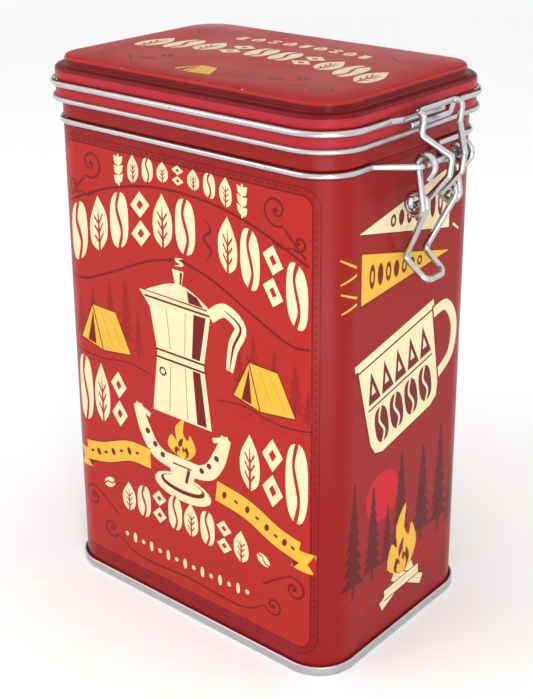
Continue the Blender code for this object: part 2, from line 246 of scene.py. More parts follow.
class TinFinish(bpy.types.PropertyGroup):
    """How the surfaces have aged and how they shine."""
    mottling: FloatProperty(name="Mottling", description="Clouding and specks of the print",
                            default=0.5, min=0, max=1, subtype="FACTOR")
    edge_wear: FloatProperty(name="Edge wear", description="Ink rubbed off the folded edges",
                             default=0.12, min=0, max=1, subtype="FACTOR")
    lacquer_roughness: FloatProperty(name="Lacquer roughness", description="Satin of the varnish",
                                     default=0.34, min=0, max=1, subtype="FACTOR")
    wire_roughness: FloatProperty(name="Wire roughness", description="Polish of the wire",
                                  default=0.16, min=0, max=1, subtype="FACTOR")


class TinStudio(bpy.types.PropertyGroup):
    """Floor, light and camera."""
    floor: colour("Floor", "Colour of the floor", (0.93, 0.93, 0.93))
    key_power: FloatProperty(name="Key light", description="Power of the large soft light",
                             default=2.4, min=0, unit="POWER")
    fill_power: FloatProperty(name="Fill light", description="Power of the light on the clasp side",
                              default=2.6, min=0, unit="POWER")
    low_power: FloatProperty(name="Low light", description="Power of the light at the near corner",
                             default=0.6, min=0, unit="POWER")
    sky: FloatProperty(name="Surroundings", description="Brightness of the white room",
                       default=1.2, min=0)
    yaw: FloatProperty(name="Camera yaw", description="Turn of the camera from the front",
                       default=math.radians(40.1), subtype="ANGLE", unit="ROTATION")
    pitch: FloatProperty(name="Camera pitch", description="Dip of the camera",
                         default=math.radians(-19.5), subtype="ANGLE", unit="ROTATION")
    lens: FloatProperty(name="Lens", description="Focal length in millimetres", default=68.5, min=1)
    floor_tiles: IntProperty(name="Floor cells", description="Divisions of the floor's mesh",
                             default=24, min=1)


# --- nodes --------------------------------------------------------------------------------

def put(tree, kind, inputs=None, **settings):
    """A node with its settings and inputs; an input is a value or another node's socket."""
    node = tree.nodes.new(kind)
    for key, value in settings.items():
        setattr(node, key, value)
    for key, value in (inputs or {}).items():
        if isinstance(value, bpy.types.NodeSocket):
            tree.links.new(value, node.inputs[key])
        else:
            node.inputs[key].default_value = value
    return node


def calc(tree, operation, *values, clamp=False):
    """The result of a Math node."""
    inputs = dict(enumerate(values))
    return put(tree, "ShaderNodeMath", inputs, operation=operation, use_clamp=clamp).outputs[0]


def ramp(tree, value, low, high, to_low=0.0, to_high=1.0):
    """The value mapped from one range to another, smoothly and clamped."""
    inputs = {"Value": value, "From Min": low, "From Max": high, "To Min": to_low, "To Max": to_high}
    return put(tree, "ShaderNodeMapRange", inputs, interpolation_type="SMOOTHSTEP").outputs["Result"]


def speckle(tree, place, scale, detail=3.0, roughness=0.6):
    """Plain noise at a place."""
    inputs = {"Vector": place, "Scale": scale, "Detail": detail, "Roughness": roughness}
    return put(tree, "ShaderNodeTexNoise", inputs).outputs["Fac"]


def blend_colour(tree, factor, first, second, how="MIX"):
    """A mix of two colours."""
    mix = put(tree, "ShaderNodeMix", data_type="RGBA", blend_type=how)
    for index, value in ((0, factor), (6, first), (7, second)):
        if isinstance(value, bpy.types.NodeSocket):
            tree.links.new(value, mix.inputs[index])
        else:
            mix.inputs[index].default_value = value
    return mix.outputs[2]


def group(name, inputs, outputs):
    """An empty shader group and its input and output nodes."""
    tree = bpy.data.node_groups.new(name, "ShaderNodeTree")
    for title, default in inputs:
        tree.interface.new_socket(title, in_out="INPUT", socket_type="NodeSocketFloat")
        tree.interface.items_tree[title].default_value = default
    for title, kind in outputs:
        tree.interface.new_socket(title, in_out="OUTPUT", socket_type=kind)
    return tree, tree.nodes.new("NodeGroupInput"), tree.nodes.new("NodeGroupOutput")


def print_texture_group():
    """Litho print: soft clouding, fine specks, rubbed spots and a faint orange peel."""
    name = "Print texture"
    if name in bpy.data.node_groups:
        return bpy.data.node_groups[name]
    value = "NodeSocketFloat"
    tree, given, result = group(name, (("Strength", 0.5),),
                                (("Shade", "NodeSocketColor"), ("Rubbed", value), ("Relief", value),
                                 ("Smudges", value)))
    place = put(tree, "ShaderNodeTexCoord").outputs["Object"]
    strength = given.outputs["Strength"]
    cloud = calc(tree, "MULTIPLY", calc(tree, "SUBTRACT", speckle(tree, place, 55.0), 0.5), 0.34)
    grit = calc(tree, "MULTIPLY", calc(tree, "SUBTRACT", speckle(tree, place, 900.0, 4.0, 0.75), 0.5), 0.5)
    tone = calc(tree, "MULTIPLY", calc(tree, "ADD", cloud, grit), strength)
    shade = calc(tree, "ADD", tone, 1.0)
    tint = put(tree, "ShaderNodeCombineColor", {0: shade, 1: shade, 2: shade}).outputs[0]
    patch = ramp(tree, speckle(tree, place, 140.0, 2.0), 0.42, 0.62)
    spots = ramp(tree, speckle(tree, place, 1300.0, 3.0, 0.8), 0.56, 0.66)
    rubbed = calc(tree, "MULTIPLY", calc(tree, "MULTIPLY", patch, spots), strength)
    tree.links.new(tint, result.inputs["Shade"])
    tree.links.new(rubbed, result.inputs["Rubbed"])
    tree.links.new(speckle(tree, place, 420.0, 2.0), result.inputs["Relief"])
    tree.links.new(speckle(tree, place, 24.0, 4.0), result.inputs["Smudges"])
    return tree


def worn_edge_group():
    """Wear along folded edges, from the sheet's edge attribute broken up by noise."""
    name = "Worn edge"
    if name in bpy.data.node_groups:
        return bpy.data.node_groups[name]
    tree, given, result = group(name, (("Strength", 0.3),), (("Worn", "NodeSocketFloat"),))
    place = put(tree, "ShaderNodeTexCoord").outputs["Object"]
    edge = put(tree, "ShaderNodeAttribute", attribute_name="fold").outputs["Fac"]
    broken = calc(tree, "ADD", speckle(tree, place, 260.0, 5.0, 0.7), calc(tree, "MULTIPLY", edge, 0.30))
    start = calc(tree, "SUBTRACT", 1.02, calc(tree, "MULTIPLY", given.outputs["Strength"], 0.55))
    worn = calc(tree, "MULTIPLY", calc(tree, "SUBTRACT", broken, start), 16.0, clamp=True)
    tree.links.new(calc(tree, "MULTIPLY", worn, edge, clamp=True), result.inputs["Worn"])
    return tree


def metal_marks_group():
    """Bare metal: drawn streaks along a run, fine scratches and dull patches."""
    name = "Metal marks"
    if name in bpy.data.node_groups:
        return bpy.data.node_groups[name]
    value = "NodeSocketFloat"
    tree, given, result = group(name, (("Streaks", 0.5), ("Patches", 0.5)),
                                (("Tone", "NodeSocketColor"), ("Dulling", value), ("Relief", value)))
    place = put(tree, "ShaderNodeTexCoord").outputs["Object"]
    run = put(tree, "ShaderNodeAttribute", attribute_name="run").outputs["Vector"]
    streak = calc(tree, "SUBTRACT", speckle(tree, run, 2.6, 4.0, 0.7), 0.5)
    patch = calc(tree, "SUBTRACT", speckle(tree, place, 210.0, 3.0), 0.5)
    streak = calc(tree, "MULTIPLY", streak, given.outputs["Streaks"])
    patch = calc(tree, "MULTIPLY", patch, given.outputs["Patches"])
    both = calc(tree, "ADD", streak, patch)
    tone = calc(tree, "ADD", calc(tree, "MULTIPLY", both, 0.55), 1.0)
    grey = put(tree, "ShaderNodeCombineColor", {0: tone, 1: tone, 2: tone}).outputs[0]
    tree.links.new(grey, result.inputs["Tone"])
    tree.links.new(calc(tree, "MULTIPLY", both, 0.5), result.inputs["Dulling"])
    tree.links.new(streak, result.inputs["Relief"])
    return tree


def use_group(tree, made, **values):
    """A shared group placed in a material with its own values."""
    node = put(tree, "ShaderNodeGroup", node_tree=made)
    for title, value in values.items():
        node.inputs[title].default_value = value
    return node


def new_material(name):
    """A material, its tree and its Principled shader; no tree or shader if it is made already."""
    if name in bpy.data.materials:
        return bpy.data.materials[name], None, None
    material = bpy.data.materials.new(name)
    material.use_nodes = True
    return material, material.node_tree, material.node_tree.nodes["Principled BSDF"]


def emboss(tree, shader, height, strength, depth):
    """Gives a shader a relief."""
    bump = put(tree, "ShaderNodeBump", {"Height": height, "Strength": strength, "Distance": depth})
    tree.links.new(bump.outputs["Normal"], shader.inputs["Normal"])


def ink(name, ground=None):
    """A lacquered ink; light inks show a little of the ground through rubbed spots."""
    material, tree, shader = new_material("ink_" + name)
    if tree is None:
        return material
    colours = bpy.context.scene.tin_colours
    look = bpy.context.scene.tin_finish
    own = (*getattr(colours, name), 1)
    under = (*getattr(colours, ground or name), 1)
    texture = use_group(tree, print_texture_group(), Strength=look.mottling)
    edges = use_group(tree, worn_edge_group(), Strength=look.edge_wear)
    rubbed = calc(tree, "MULTIPLY", texture.outputs["Rubbed"], 0.75 if ground else 0.0)
    printed = blend_colour(tree, rubbed, own, under)
    printed = blend_colour(tree, 1.0, printed, texture.outputs["Shade"], "MULTIPLY")
    worn = edges.outputs["Worn"]
    bare = (*colours.tinplate, 1)
    tree.links.new(blend_colour(tree, worn, printed, bare), shader.inputs["Base Color"])
    tree.links.new(worn, shader.inputs["Metallic"])
    base = look.lacquer_roughness
    rough = ramp(tree, texture.outputs["Smudges"], 0.3, 0.7, base - 0.05, base + 0.07)
    tree.links.new(rough, shader.inputs["Roughness"])
    emboss(tree, shader, texture.outputs["Relief"], 0.10, 0.00012)
    shader.inputs["Specular IOR Level"].default_value = 0.15
    shader.inputs["Coat Weight"].default_value = 0.03
    shader.inputs["Coat Roughness"].default_value = 0.16
    return material


def metal(name, tint, roughness, streaks, patches, relief):
    """A bare metal with drawn streaks and dull patches."""
    material, tree, shader = new_material(name)
    if tree is None:
        return material
    marks = use_group(tree, metal_marks_group(), Streaks=streaks, Patches=patches)
    toned = blend_colour(tree, 1.0, (*tint, 1), marks.outputs["Tone"], "MULTIPLY")
    tree.links.new(toned, shader.inputs["Base Color"])
    rough = calc(tree, "ADD", marks.outputs["Dulling"], roughness, clamp=True)
    tree.links.new(rough, shader.inputs["Roughness"])
    emboss(tree, shader, marks.outputs["Relief"], relief, 0.0002)
    shader.inputs["Metallic"].default_value = 1.0
    return material


def bare_tinplate():
    """Dull bare sheet of the curl, the seams and the inside."""
    return metal("tinplate", bpy.context.scene.tin_colours.tinplate, 0.36, 0.25, 0.55, 0.15)


def bright_wire():
    """Polished drawn wire."""
    scene = bpy.context.scene
    return metal("bright_wire", scene.tin_colours.wire, scene.tin_finish.wire_roughness, 0.5, 0.35, 0.4)


def gasket_rubber():
    """Pale matte rubber with fine moulding grain."""
    material, tree, shader = new_material("gasket_rubber")
    if tree is None:
        return material
    texture = use_group(tree, print_texture_group(), Strength=0.35)
    base = (*bpy.context.scene.tin_colours.gasket, 1)
    toned = blend_colour(tree, 1.0, base, texture.outputs["Shade"], "MULTIPLY")
    tree.links.new(toned, shader.inputs["Base Color"])
    rough = ramp(tree, texture.outputs["Smudges"], 0.3, 0.7, 0.55, 0.7)
    tree.links.new(rough, shader.inputs["Roughness"])
    emboss(tree, shader, texture.outputs["Relief"], 0.2, 0.0001)
    return material


# --- flat shapes for the print --------------------------------------------------------------

def arc(middle, radius, start, stop, step):
    """Points on an arc in a flat plane; the angles may run either way."""
    count = max(1, math.ceil(abs(stop - start) / step - 0.001))
    angles = [start + (stop - start) * i / count for i in range(count + 1)]
    return [(middle[0] + radius * math.cos(a), middle[1] + radius * math.sin(a)) for a in angles]


def turned(points, angle, x, z):
    """The points turned about the origin and then moved to x, z."""
    across, up = math.cos(angle), math.sin(angle)
    return [(x + u * across - v * up, z + u * up + v * across) for u, v in points]


def oval(x, z, wide, high, tilt=0.0, count=20):
    """A closed oval of half sizes wide and high."""
    angles = [math.tau * i / count for i in range(count)]
    return turned([(wide * math.cos(a), high * math.sin(a)) for a in angles], tilt, x, z)


def rounded(x0, z0, x1, z1, radius):
    """A rectangle with round corners."""
    step = math.radians(15)
    points = []
    middles = ((x1 - radius, z0 + radius), (x1 - radius, z1 - radius),
               (x0 + radius, z1 - radius), (x0 + radius, z0 + radius))
    for i, middle in enumerate(middles):
        start = math.pi / 2 * (i - 1)
        points += arc(middle, radius, start, start + math.pi / 2, step)
    return points


def smooth(points, steps=6):
    """A flowing line through the points."""
    ends = [points[0], *points, points[-1]]
    line = []
    for a, b, c, d in zip(ends, ends[1:], ends[2:], ends[3:]):
        for i in range(steps):
            t = i / steps
            line.append(tuple(
                0.5 * (2 * q + (r - p) * t + (2 * p - 5 * q + 4 * r - s) * t * t
                       + (3 * q - p - 3 * r + s) * t ** 3)
                for p, q, r, s in zip(a, b, c, d)))
    line.append(points[-1])
    return line


def stroke(line, width, thin_start=1.0, thin_end=1.0):
    """A band along a line, narrowed at its ends by the two shares."""
    left, right = [], []
    last = len(line) - 1
    for i, point in enumerate(line):
        here = Vector(point)
        ahead = Vector(line[min(i + 1, last)]) - Vector(line[max(i - 1, 0)])
        across = Vector((-ahead.y, ahead.x)).normalized()
        t = i / last
        share = thin_start + (1 - thin_start) * min(1, 3 * t)
        share *= thin_end + (1 - thin_end) * min(1, 3 * (1 - t))
        left.append(tuple(here + across * width / 2 * share))
        right.append(tuple(here - across * width / 2 * share))
    return left + right[::-1]


def spiral(x, z, outer, inner, start, turns, count=30):
    """A line that winds inwards; positive turns run anticlockwise."""
    line = []
    for i in range(count + 1):
        t = i / count
        radius = outer + (inner - outer) * t
        a = start + math.tau * turns * t
        line.append((x + radius * math.cos(a), z + radius * math.sin(a)))
    return line


class Print:
    """Ink shapes laid on a flat sheet; a later shape covers an earlier one."""

    def __init__(self):
        self.shapes = []
        self.origin = 0.0
        self.flip = 1.0

    def at(self, origin, flip=1.0):
        """Measures the next shapes from another middle, mirrored if flip is -1."""
        self.origin = origin
        self.flip = flip
        return self

    def lay(self, ink_name, loop):
        """Lays one closed shape."""
        placed = [(self.origin + self.flip * x, z) for x, z in loop]
        self.shapes.append((ink_name, placed))

    def draw(self, ink_name, line, width, thin_start=1.0, thin_end=1.0):
        """Lays a stroke along a line."""
        self.lay(ink_name, stroke(line, width, thin_start, thin_end))


def frame_with_stitches(art, x0, z0, x1, z1, radius):
    """A panel's double frame: an outer line, a row of stitches and an inner line."""
    for ink_name, inset in (("line", 0.0), ("field", 0.45), ("line", 2.1), ("panel", 2.65)):
        art.lay(ink_name, rounded(x0 + inset, z0 + inset, x1 - inset, z1 - inset, radius - inset))
    pitch = 2.4
    middle = 1.28
    half_stitch = 0.7
    thick = 0.5
    wide = x1 - x0 - 2 * radius
    high = z1 - z0 - 2 * radius
    count = int(wide / pitch)
    for z in (z0 + middle, z1 - middle):
        for i in range(count):
            x = x0 + radius + (i + 0.5) * wide / count
            art.draw("line", [(x - half_stitch, z), (x + half_stitch, z)], thick)
    count = int(high / pitch)
    for x in (x0 + middle, x1 - middle):
        for i in range(count):
            z = z0 + radius + (i + 0.5) * high / count
            art.draw("line", [(x, z - half_stitch), (x, z + half_stitch)], thick)


def squared(u, v, fullness=0.78):
    """A point of the unit oval pushed out towards the corners of its box."""
    return tuple(0.5 + 0.5 * math.copysign(abs(2 * t - 1) ** fullness, 2 * t - 1) for t in (u, v))


def bean_unit(art, fit, tone, ground):
    """A standing coffee bean with its wavy cleft."""
    art.lay(tone, fit([squared(u, v) for u, v in oval(0.5, 0.5, 0.49, 0.5, 0, 28)]))
    cleft = smooth([(0.56, 1.02), (0.38, 0.72), (0.62, 0.30), (0.44, -0.02)], 5)
    art.lay(ground, fit(stroke(cleft, 0.13)))


def leaf_unit(art, fit, tone, ground):
    """A pointed leaf with a midrib."""
    right = smooth([(0.5, 0.0), (0.93, 0.22), (0.95, 0.62), (0.5, 1.0)], 6)
    left = smooth([(0.5, 1.0), (0.05, 0.62), (0.07, 0.22), (0.5, 0.0)], 6)
    art.lay(tone, fit(right + left[1:-1]))
    art.lay(ground, fit(stroke([(0.5, 0.0), (0.5, 0.40), (0.5, 0.78)], 0.11, 1.0, 0.2)))
    for z in (0.26, 0.44, 0.60):
        art.lay(ground, fit(stroke([(0.5, z - 0.10), (0.74, z + 0.06)], 0.05)))
        art.lay(ground, fit(stroke([(0.26, z + 0.06), (0.5, z - 0.10)], 0.05)))


def lozenge_unit(art, fit, tone, ground):
    """Two lozenges, one above the other, each with a lozenge-shaped eye."""
    for low in (0.0, 0.52):
        art.lay(tone, fit([(0.5, low), (1.0, low + 0.24), (0.5, low + 0.48), (0.0, low + 0.24)]))
        art.lay(ground, fit([(0.5, low + 0.15), (0.68, low + 0.24), (0.5, low + 0.33), (0.32, low + 0.24)]))


def sprig_unit(art, fit, tone, _ground):
    """A stem with three pairs of small leaves, which need no cut-outs."""
    art.lay(tone, fit(stroke([(0.5, 0.0), (0.5, 0.5), (0.5, 0.92)], 0.15)))
    for z in (0.10, 0.36, 0.62):
        for side in (-1, 1):
            tip = (0.5 + side * 0.42, z + 0.26)
            bow = smooth([(0.5, z), (0.5 + side * 0.30, z + 0.05), tip], 4)
            back = smooth([tip, (0.5 + side * 0.08, z + 0.22), (0.5, z + 0.12)], 4)
            art.lay(tone, fit(bow + back[1:]))


def ornament_band(art, tone, ground, left, right, low, high, units, spacing=0.14):
    """A row of ornaments between two lines, each a function of the distance across."""
    pitch = (right - left) / len(units)
    for i, unit in enumerate(units):
        start = left + pitch * (i + spacing / 2)
        width = pitch * (1 - spacing)

        def fit(loop):
            """The loop's 0 to 1 square laid between the band's two lines."""
            placed = []
            for u, v in loop:
                x = start + width * u
                placed.append((x, low(x) + (high(x) - low(x)) * v))
            return placed

        unit(art, fit, tone, ground)


def arch(middle, drop, half):
    """The height of an arch: middle at its crown, lower by drop at the distance half."""
    return lambda x: middle - drop * (x / half) ** 2


def pine(art, tone, x, z, high, wide, tiers=5):
    """A fir tree's ragged outline, its foot at x, z."""
    loop = [(x - wide * 0.06, z), (x + wide * 0.06, z), (x + wide * 0.06, z + high * 0.12)]
    side = []
    for i in range(tiers):
        t = i / tiers
        reach = wide / 2 * (1 - t) ** 0.85
        low = z + high * (0.12 + 0.88 * t)
        side.append((reach, low))
        side.append((reach * 0.42, low + high * 0.11))
    loop += [(x + u, v) for u, v in side]
    loop.append((x, z + high))
    loop += [(x - u, v) for u, v in side[::-1]]
    loop.append((x - wide * 0.06, z + high * 0.12))
    art.lay(tone, loop)


def coffee_bean(art, x, z, long, tilt, tone="cream", ground="panel"):
    """A small bean lying at an angle."""
    art.lay(tone, oval(x, z, long / 2, long * 0.32, tilt, 18))
    cleft = [(long * u, long * v) for u, v in ((-0.5, 0.02), (-0.2, 0.10), (0.2, -0.10), (0.5, -0.02))]
    art.draw(ground, smooth(turned(cleft, tilt, x, z), 4), long * 0.10)


def tent(art, x, z, wide, high):
    """A ridge tent seen from a corner: open gable at the left and one long slope."""
    apex = (x - wide * 0.24, z + high)
    ridge = (x + wide * 0.22, z + high * 0.98)
    left = (x - wide / 2, z + high * 0.16)
    foot = (x - wide * 0.06, z)
    right = (x + wide / 2, z + high * 0.12)
    art.lay("yellow", [left, foot, right, ridge, apex])
    inner = (x - wide * 0.20, z + high * 0.10)
    art.lay("line", [(x - wide * 0.36, z + high * 0.14), inner, (apex[0] + 0.1, z + high * 0.86)])
    poles = ((apex[0] - 0.9, apex[1] + 1.6), (apex[0] + 1.0, apex[1] + 1.5))
    for line in ([left, apex], [foot, apex], [apex, ridge], [ridge, right], [right, foot], [foot, left],
                 [apex, poles[0]], [apex, poles[1]]):
        art.draw("line", line, 0.42)
    for t in (0.35, 0.7):
        high_point = (apex[0] + (ridge[0] - apex[0]) * t, z + high * 0.90)
        low_point = (foot[0] + (right[0] - foot[0]) * t, z + high * 0.20)
        art.draw("line", [high_point, low_point], 0.26, 0.3, 0.3)


def coffee_pot(art, x, z):
    """A faceted stove-top pot: boiler, waist, flared jug, lid, knob, spout and handle."""
    base, waist, mouth = 12.2, 9.6, 12.8
    low, mid, high = z, z + 20.5, z + 38.5
    art.lay("cream", [(x - base, low), (x + base, low), (x + waist, mid), (x - waist, mid)])
    art.lay("cream", [(x - waist, mid), (x + waist, mid), (x + mouth, high), (x - mouth - 3.6, high + 0.6),
                      (x - mouth + 0.6, high - 4.2)])
    art.lay("line", [(x + base * 0.52, low + 0.6), (x + base * 0.84, low + 0.6),
                     (x + waist * 0.84, mid - 2.6), (x + waist * 0.52, mid - 2.6)])
    art.lay("line", [(x + waist * 0.50, mid + 1.4), (x + waist * 0.84, mid + 1.4),
                     (x + mouth * 0.84, high - 2.2), (x + mouth * 0.46, high - 2.2)])
    for t in (-0.42, 0.20):
        art.draw("line", [(x + base * t, low + 1.0), (x + waist * t, mid - 2.8)], 0.5, 0.4, 0.4)
        art.draw("line", [(x + waist * t, mid + 1.6), (x + mouth * t, high - 2.6)], 0.5, 0.4, 0.4)
    art.draw("line", [(x - waist - 0.6, mid - 1.9), (x + waist + 0.6, mid - 1.9)], 0.7)
    art.draw("line", [(x - waist - 0.4, mid + 0.6), (x + waist + 0.4, mid + 0.6)], 0.7)
    art.draw("line", [(x - mouth - 1.6, high - 1.0), (x + mouth, high - 1.2)], 0.7)
    for tone, size in (("line", 1.5), ("cream", 0.9)):
        art.lay(tone, oval(x - base * 0.62, mid - 6.4, size, size))
    art.lay("cream", smooth([(x - mouth - 1.0, high + 0.9), (x - 6.0, high + 4.4), (x, high + 5.8),
                             (x + 6.0, high + 4.4), (x + mouth, high + 0.6)], 4))
    for tone, facet in (("line", [(4.0, 0.9), (9.8, 0.8), (7.4, 3.4), (3.4, 4.6)]),
                        ("cream", [(-1.3, 5.4), (1.3, 5.4), (2.3, 10.2), (-2.3, 10.2)]),
                        ("line", [(0.5, 5.8), (1.2, 5.8), (1.8, 9.8), (0.8, 9.8)])):
        art.lay(tone, [(x + u, high + v) for u, v in facet])
    grip = [(x + mouth - 0.4, high - 1.2), (x + mouth + 5.4, high + 2.2), (x + mouth + 11.4, high - 1.6),
            (x + mouth + 8.6, high - 8.4), (x + mouth + 7.0, high - 16.4)]
    art.draw("cream", smooth(grip, 5), 4.4, 0.9, 0.6)
    art.draw("line", smooth(grip[1:], 5), 0.9, 0.2, 0.2)
    steam = [(x - 1.0, high + 11.4), (x + 2.0, high + 12.4), (x - 0.8, high + 13.4), (x + 2.0, high + 14.2)]
    art.draw("cream", smooth(steam, 5), 0.9, 0.2, 0.2)


def flame(art, x, z, wide, high):
    """A three-tongued flame with a dark heart and a bright core."""
    tongues = [(-0.06, 0.0), (-0.46, 0.20), (-0.34, 0.52), (-0.16, 0.42), (-0.20, 0.74), (0.10, 1.0),
               (0.06, 0.66), (0.22, 0.50), (0.30, 0.66), (0.48, 0.34), (0.28, 0.06), (0.06, 0.0)]
    for scale, tone in ((1.0, "yellow"), (0.52, "line"), (0.34, "yellow")):
        art.lay(tone, smooth([(x + wide * scale * u, z + high * scale * v) for u, v in tongues], 3))


def camp_stove(art, x, z):
    """A burner on a round foot, with two arms that hold the pot."""
    art.lay("cream", oval(x, z + 3.8, 12.0, 4.6, 0, 28))
    art.lay("line", oval(x, z + 4.8, 9.4, 2.9, 0, 24))
    art.lay("cream", oval(x, z + 5.4, 8.2, 2.1, 0, 24))
    art.lay("cream", [(x - 4.0, z + 5.4), (x + 4.0, z + 5.4), (x + 6.8, z + 14.4), (x - 6.8, z + 14.4)])
    art.draw("line", [(x - 6.0, z + 11.6), (x + 6.0, z + 11.6)], 0.55)
    art.draw("line", [(x + 1.6, z + 6.2), (x + 2.9, z + 11.2)], 1.2)
    for side in (-1, 1):
        arm = [(x + side * 4.0, z + 11.4), (x + side * 11.0, z + 13.4), (x + side * 15.4, z + 19.2),
               (x + side * 18.6, z + 27.4)]
        art.draw("cream", smooth(arm, 5), 5.4, 0.8, 0.7)
        art.draw("cream", [(x + side * 19.4, z + 27.4), (x + side * 13.2, z + 25.0)], 1.6)
        for t in (0.30, 0.52, 0.74):
            hole_x = x + side * (4.0 + 14.2 * t)
            art.lay("line", oval(hole_x, z + 11.2 + 13.4 * t ** 1.7, 1.0, 1.0, 0, 12))
    flame(art, x, z + 14.4, 12.6, 13.6)


def ribbon(art, points, width, marks):
    """A banner: a band on a curve with a folded tail and a row of small marks."""
    line = smooth(points, 6)
    x, z = points[0]
    edge = z - width / 2
    tail_x, tail_z = x - 5.0, z - 3.6
    art.draw("yellow", [(tail_x, tail_z), (x + 2.0, z - 2.4)], width * 0.95)
    art.lay("line", [(x - 0.2, edge - 0.2), (x + 2.4, edge + 0.6), (x + 2.2, edge - 2.6)])
    art.lay("panel", [(tail_x - 0.2, tail_z - width / 2), (tail_x + 2.2, tail_z),
                      (tail_x - 0.2, tail_z + width / 2)])
    art.draw("line", line, width + 0.7)
    art.draw("yellow", line, width)
    step = max(1, len(line) // (marks + 1))
    for i in range(1, marks + 1):
        x, z = line[min(i * step, len(line) - 1)]
        art.lay("line", oval(x, z, 0.85, 0.5 if i % 2 else 1.35, 0.35, 10))


def scroll(art, x, z, size, turns, start, tail):
    """A curled flourish in line red with a flowing tail."""
    art.draw("line", spiral(x, z, size, size * 0.12, start, turns, 34), 0.75, 1.0, 0.4)
    art.lay("line", oval(x, z, size * 0.17, size * 0.17, 0, 10))
    art.draw("line", smooth(tail, 7), 0.75, 0.4, 1.0)


def hatched_ground(art, tone, x0, x1, z, rows, pitch):
    """Short strokes of ground under trees and tents."""
    for row in range(rows):
        x = x0 + (row % 2) * pitch * 0.5 + row * 0.9
        while x < x1 - pitch * 0.4:
            height = z - row * 1.5
            blade = [(x, height), (x + pitch * 0.31, height + 0.25), (x + pitch * 0.62, height)]
            art.draw(tone, blade, 0.55, 0.3, 0.3)
            x += pitch


def wide_panel(art, middle):
    """The wide face's print: framed panel, pot on its stove, tents, trees and ornament bands."""
    art.at(middle)
    frame_with_stitches(art, -50.8, 6.0, 50.8, 152.2, 6.0)
    sides = (-1, 1)
    half = [sprig_unit, leaf_unit, bean_unit, leaf_unit]
    small = [*half, lozenge_unit, *half[::-1]]
    ornament_band(art, "cream", "panel", -27.4, 27.4, arch(143.8, 6.2, 27.0), lambda x: 149.8, small, 0.24)
    low, high = arch(123.4, 13.4, 46.0), arch(140.4, 9.5, 42.0)
    for side in sides:
        art.at(middle, side)
        scroll(art, 36.4, 144.0, 4.9, -1.4, math.radians(-60), [(38.8, 139.8), (43.0, 135.6), (46.4, 132.0)])
        scroll(art, 44.4, 136.0, 2.6, 1.2, math.radians(-140), [(42.4, 134.3), (38.4, 133.6), (34.4, 135.6)])
        art.draw("line", smooth([(x, high(x) + 1.6) for x in (0.0, 14.0, 28.0, 40.0, 47.6)]), 0.8)
        swoop = [(0.0, 121.2), (13.0, 117.8), (29.0, 110.6), (41.0, 105.8), (47.9, 105.6)]
        art.draw("line", smooth(swoop), 0.8)
    art.at(middle)
    left = [bean_unit, leaf_unit, bean_unit, lozenge_unit, leaf_unit, bean_unit]
    right = [leaf_unit, bean_unit, lozenge_unit, bean_unit]
    ornament_band(art, "cream", "panel", -47.8, 7.0, low, high, left, 0.12)
    ornament_band(art, "cream", "panel", 14.6, 47.8, low, high, right, 0.12)
    curl = smooth([(9.8, 136.0), (12.4, 133.0), (9.6, 130.0), (12.6, 126.6), (10.2, 123.4)], 6)
    art.draw("line", curl, 0.9, 0.2, 0.2)

    for x, z, tall, wide in ((-44.6, 84.0, 16.0, 6.6), (-38.4, 86.0, 18.0, 7.2), (-30.6, 86.0, 22.0, 8.2),
                             (-23.8, 86.0, 24.5, 7.8), (-18.6, 84.0, 17.0, 5.6),
                             (22.6, 84.0, 16.0, 5.8), (28.0, 85.0, 20.5, 7.8), (35.8, 85.0, 18.0, 7.6),
                             (43.2, 83.0, 17.5, 7.6), (47.4, 82.0, 11.6, 4.2)):
        pine(art, "shade", x, z, tall, wide)
        art.draw("line", [(x, z), (x, z + tall * 0.9)], 0.35, 0.6, 0.2)
    for side in sides:
        art.at(middle, side)
        art.draw("line", smooth([(14.0, 80.4), (24.0, 81.6), (36.0, 79.8), (48.2, 80.6)]), 0.5)
        hatched_ground(art, "shade", 15.0, 48.0, 79.4, 2, 5.0)
    art.at(middle)
    tent(art, -33.4, 82.6, 22.6, 15.0)
    tent(art, 31.8, 81.6, 23.6, 14.6)
    coffee_pot(art, -1.0, 69.0)
    camp_stove(art, -1.6, 41.2)

    word = [bean_unit, leaf_unit, lozenge_unit, bean_unit]
    ornament_band(art, "cream", "panel", -48.0, -24.6, lambda x: 55.0 + 0.14 * (x + 48.0),
                  lambda x: 79.0 - 0.10 * (x + 48.0), word[:3], 0.10)
    ornament_band(art, "cream", "panel", 21.8, 48.0, lambda x: 49.2 + 0.23 * (48.0 - x),
                  lambda x: 76.6 - 0.16 * (48.0 - x), word[1:], 0.10)
    ribbon(art, [(-44.6, 44.2), (-36.0, 46.0), (-25.0, 50.2), (-15.4, 50.6)], 7.0, 7)
    art.at(middle, -1)
    ribbon(art, [(-44.6, 41.0), (-36.0, 43.0), (-25.0, 47.6), (-12.6, 49.6)], 7.0, 8)
    art.at(middle)
    lower = [leaf_unit, bean_unit, lozenge_unit, bean_unit, leaf_unit, bean_unit, lozenge_unit, leaf_unit]
    low, high = arch(29.0, 1.2, 27.0), arch(41.0, 2.6, 27.0)
    ornament_band(art, "cream", "panel", -29.4, 25.8, low, high, lower, 0.12)
    coffee_bean(art, -34.8, 35.4, 5.4, 0.5)
    coffee_bean(art, 31.2, 32.8, 5.4, -0.5)
    for i in range(15):
        x = -27.6 + 52.2 * i / 14
        z = arch(18.0, -0.8, 26.0)(x)
        art.lay("cream", oval(x, z, 0.8, 1.9 if i % 2 else 0.8, 0.0, 10))
    for side in sides:
        art.at(middle, side)
        scroll(art, -43.0, 27.4, 4.2, 1.4, math.radians(60), [(-41.0, 31.2), (-36.6, 28.4), (-31.0, 24.4)])
        scroll(art, -35.0, 18.4, 3.6, -1.4, math.radians(-20), [(-31.6, 17.2), (-22.0, 12.6), (0.0, 13.4)])


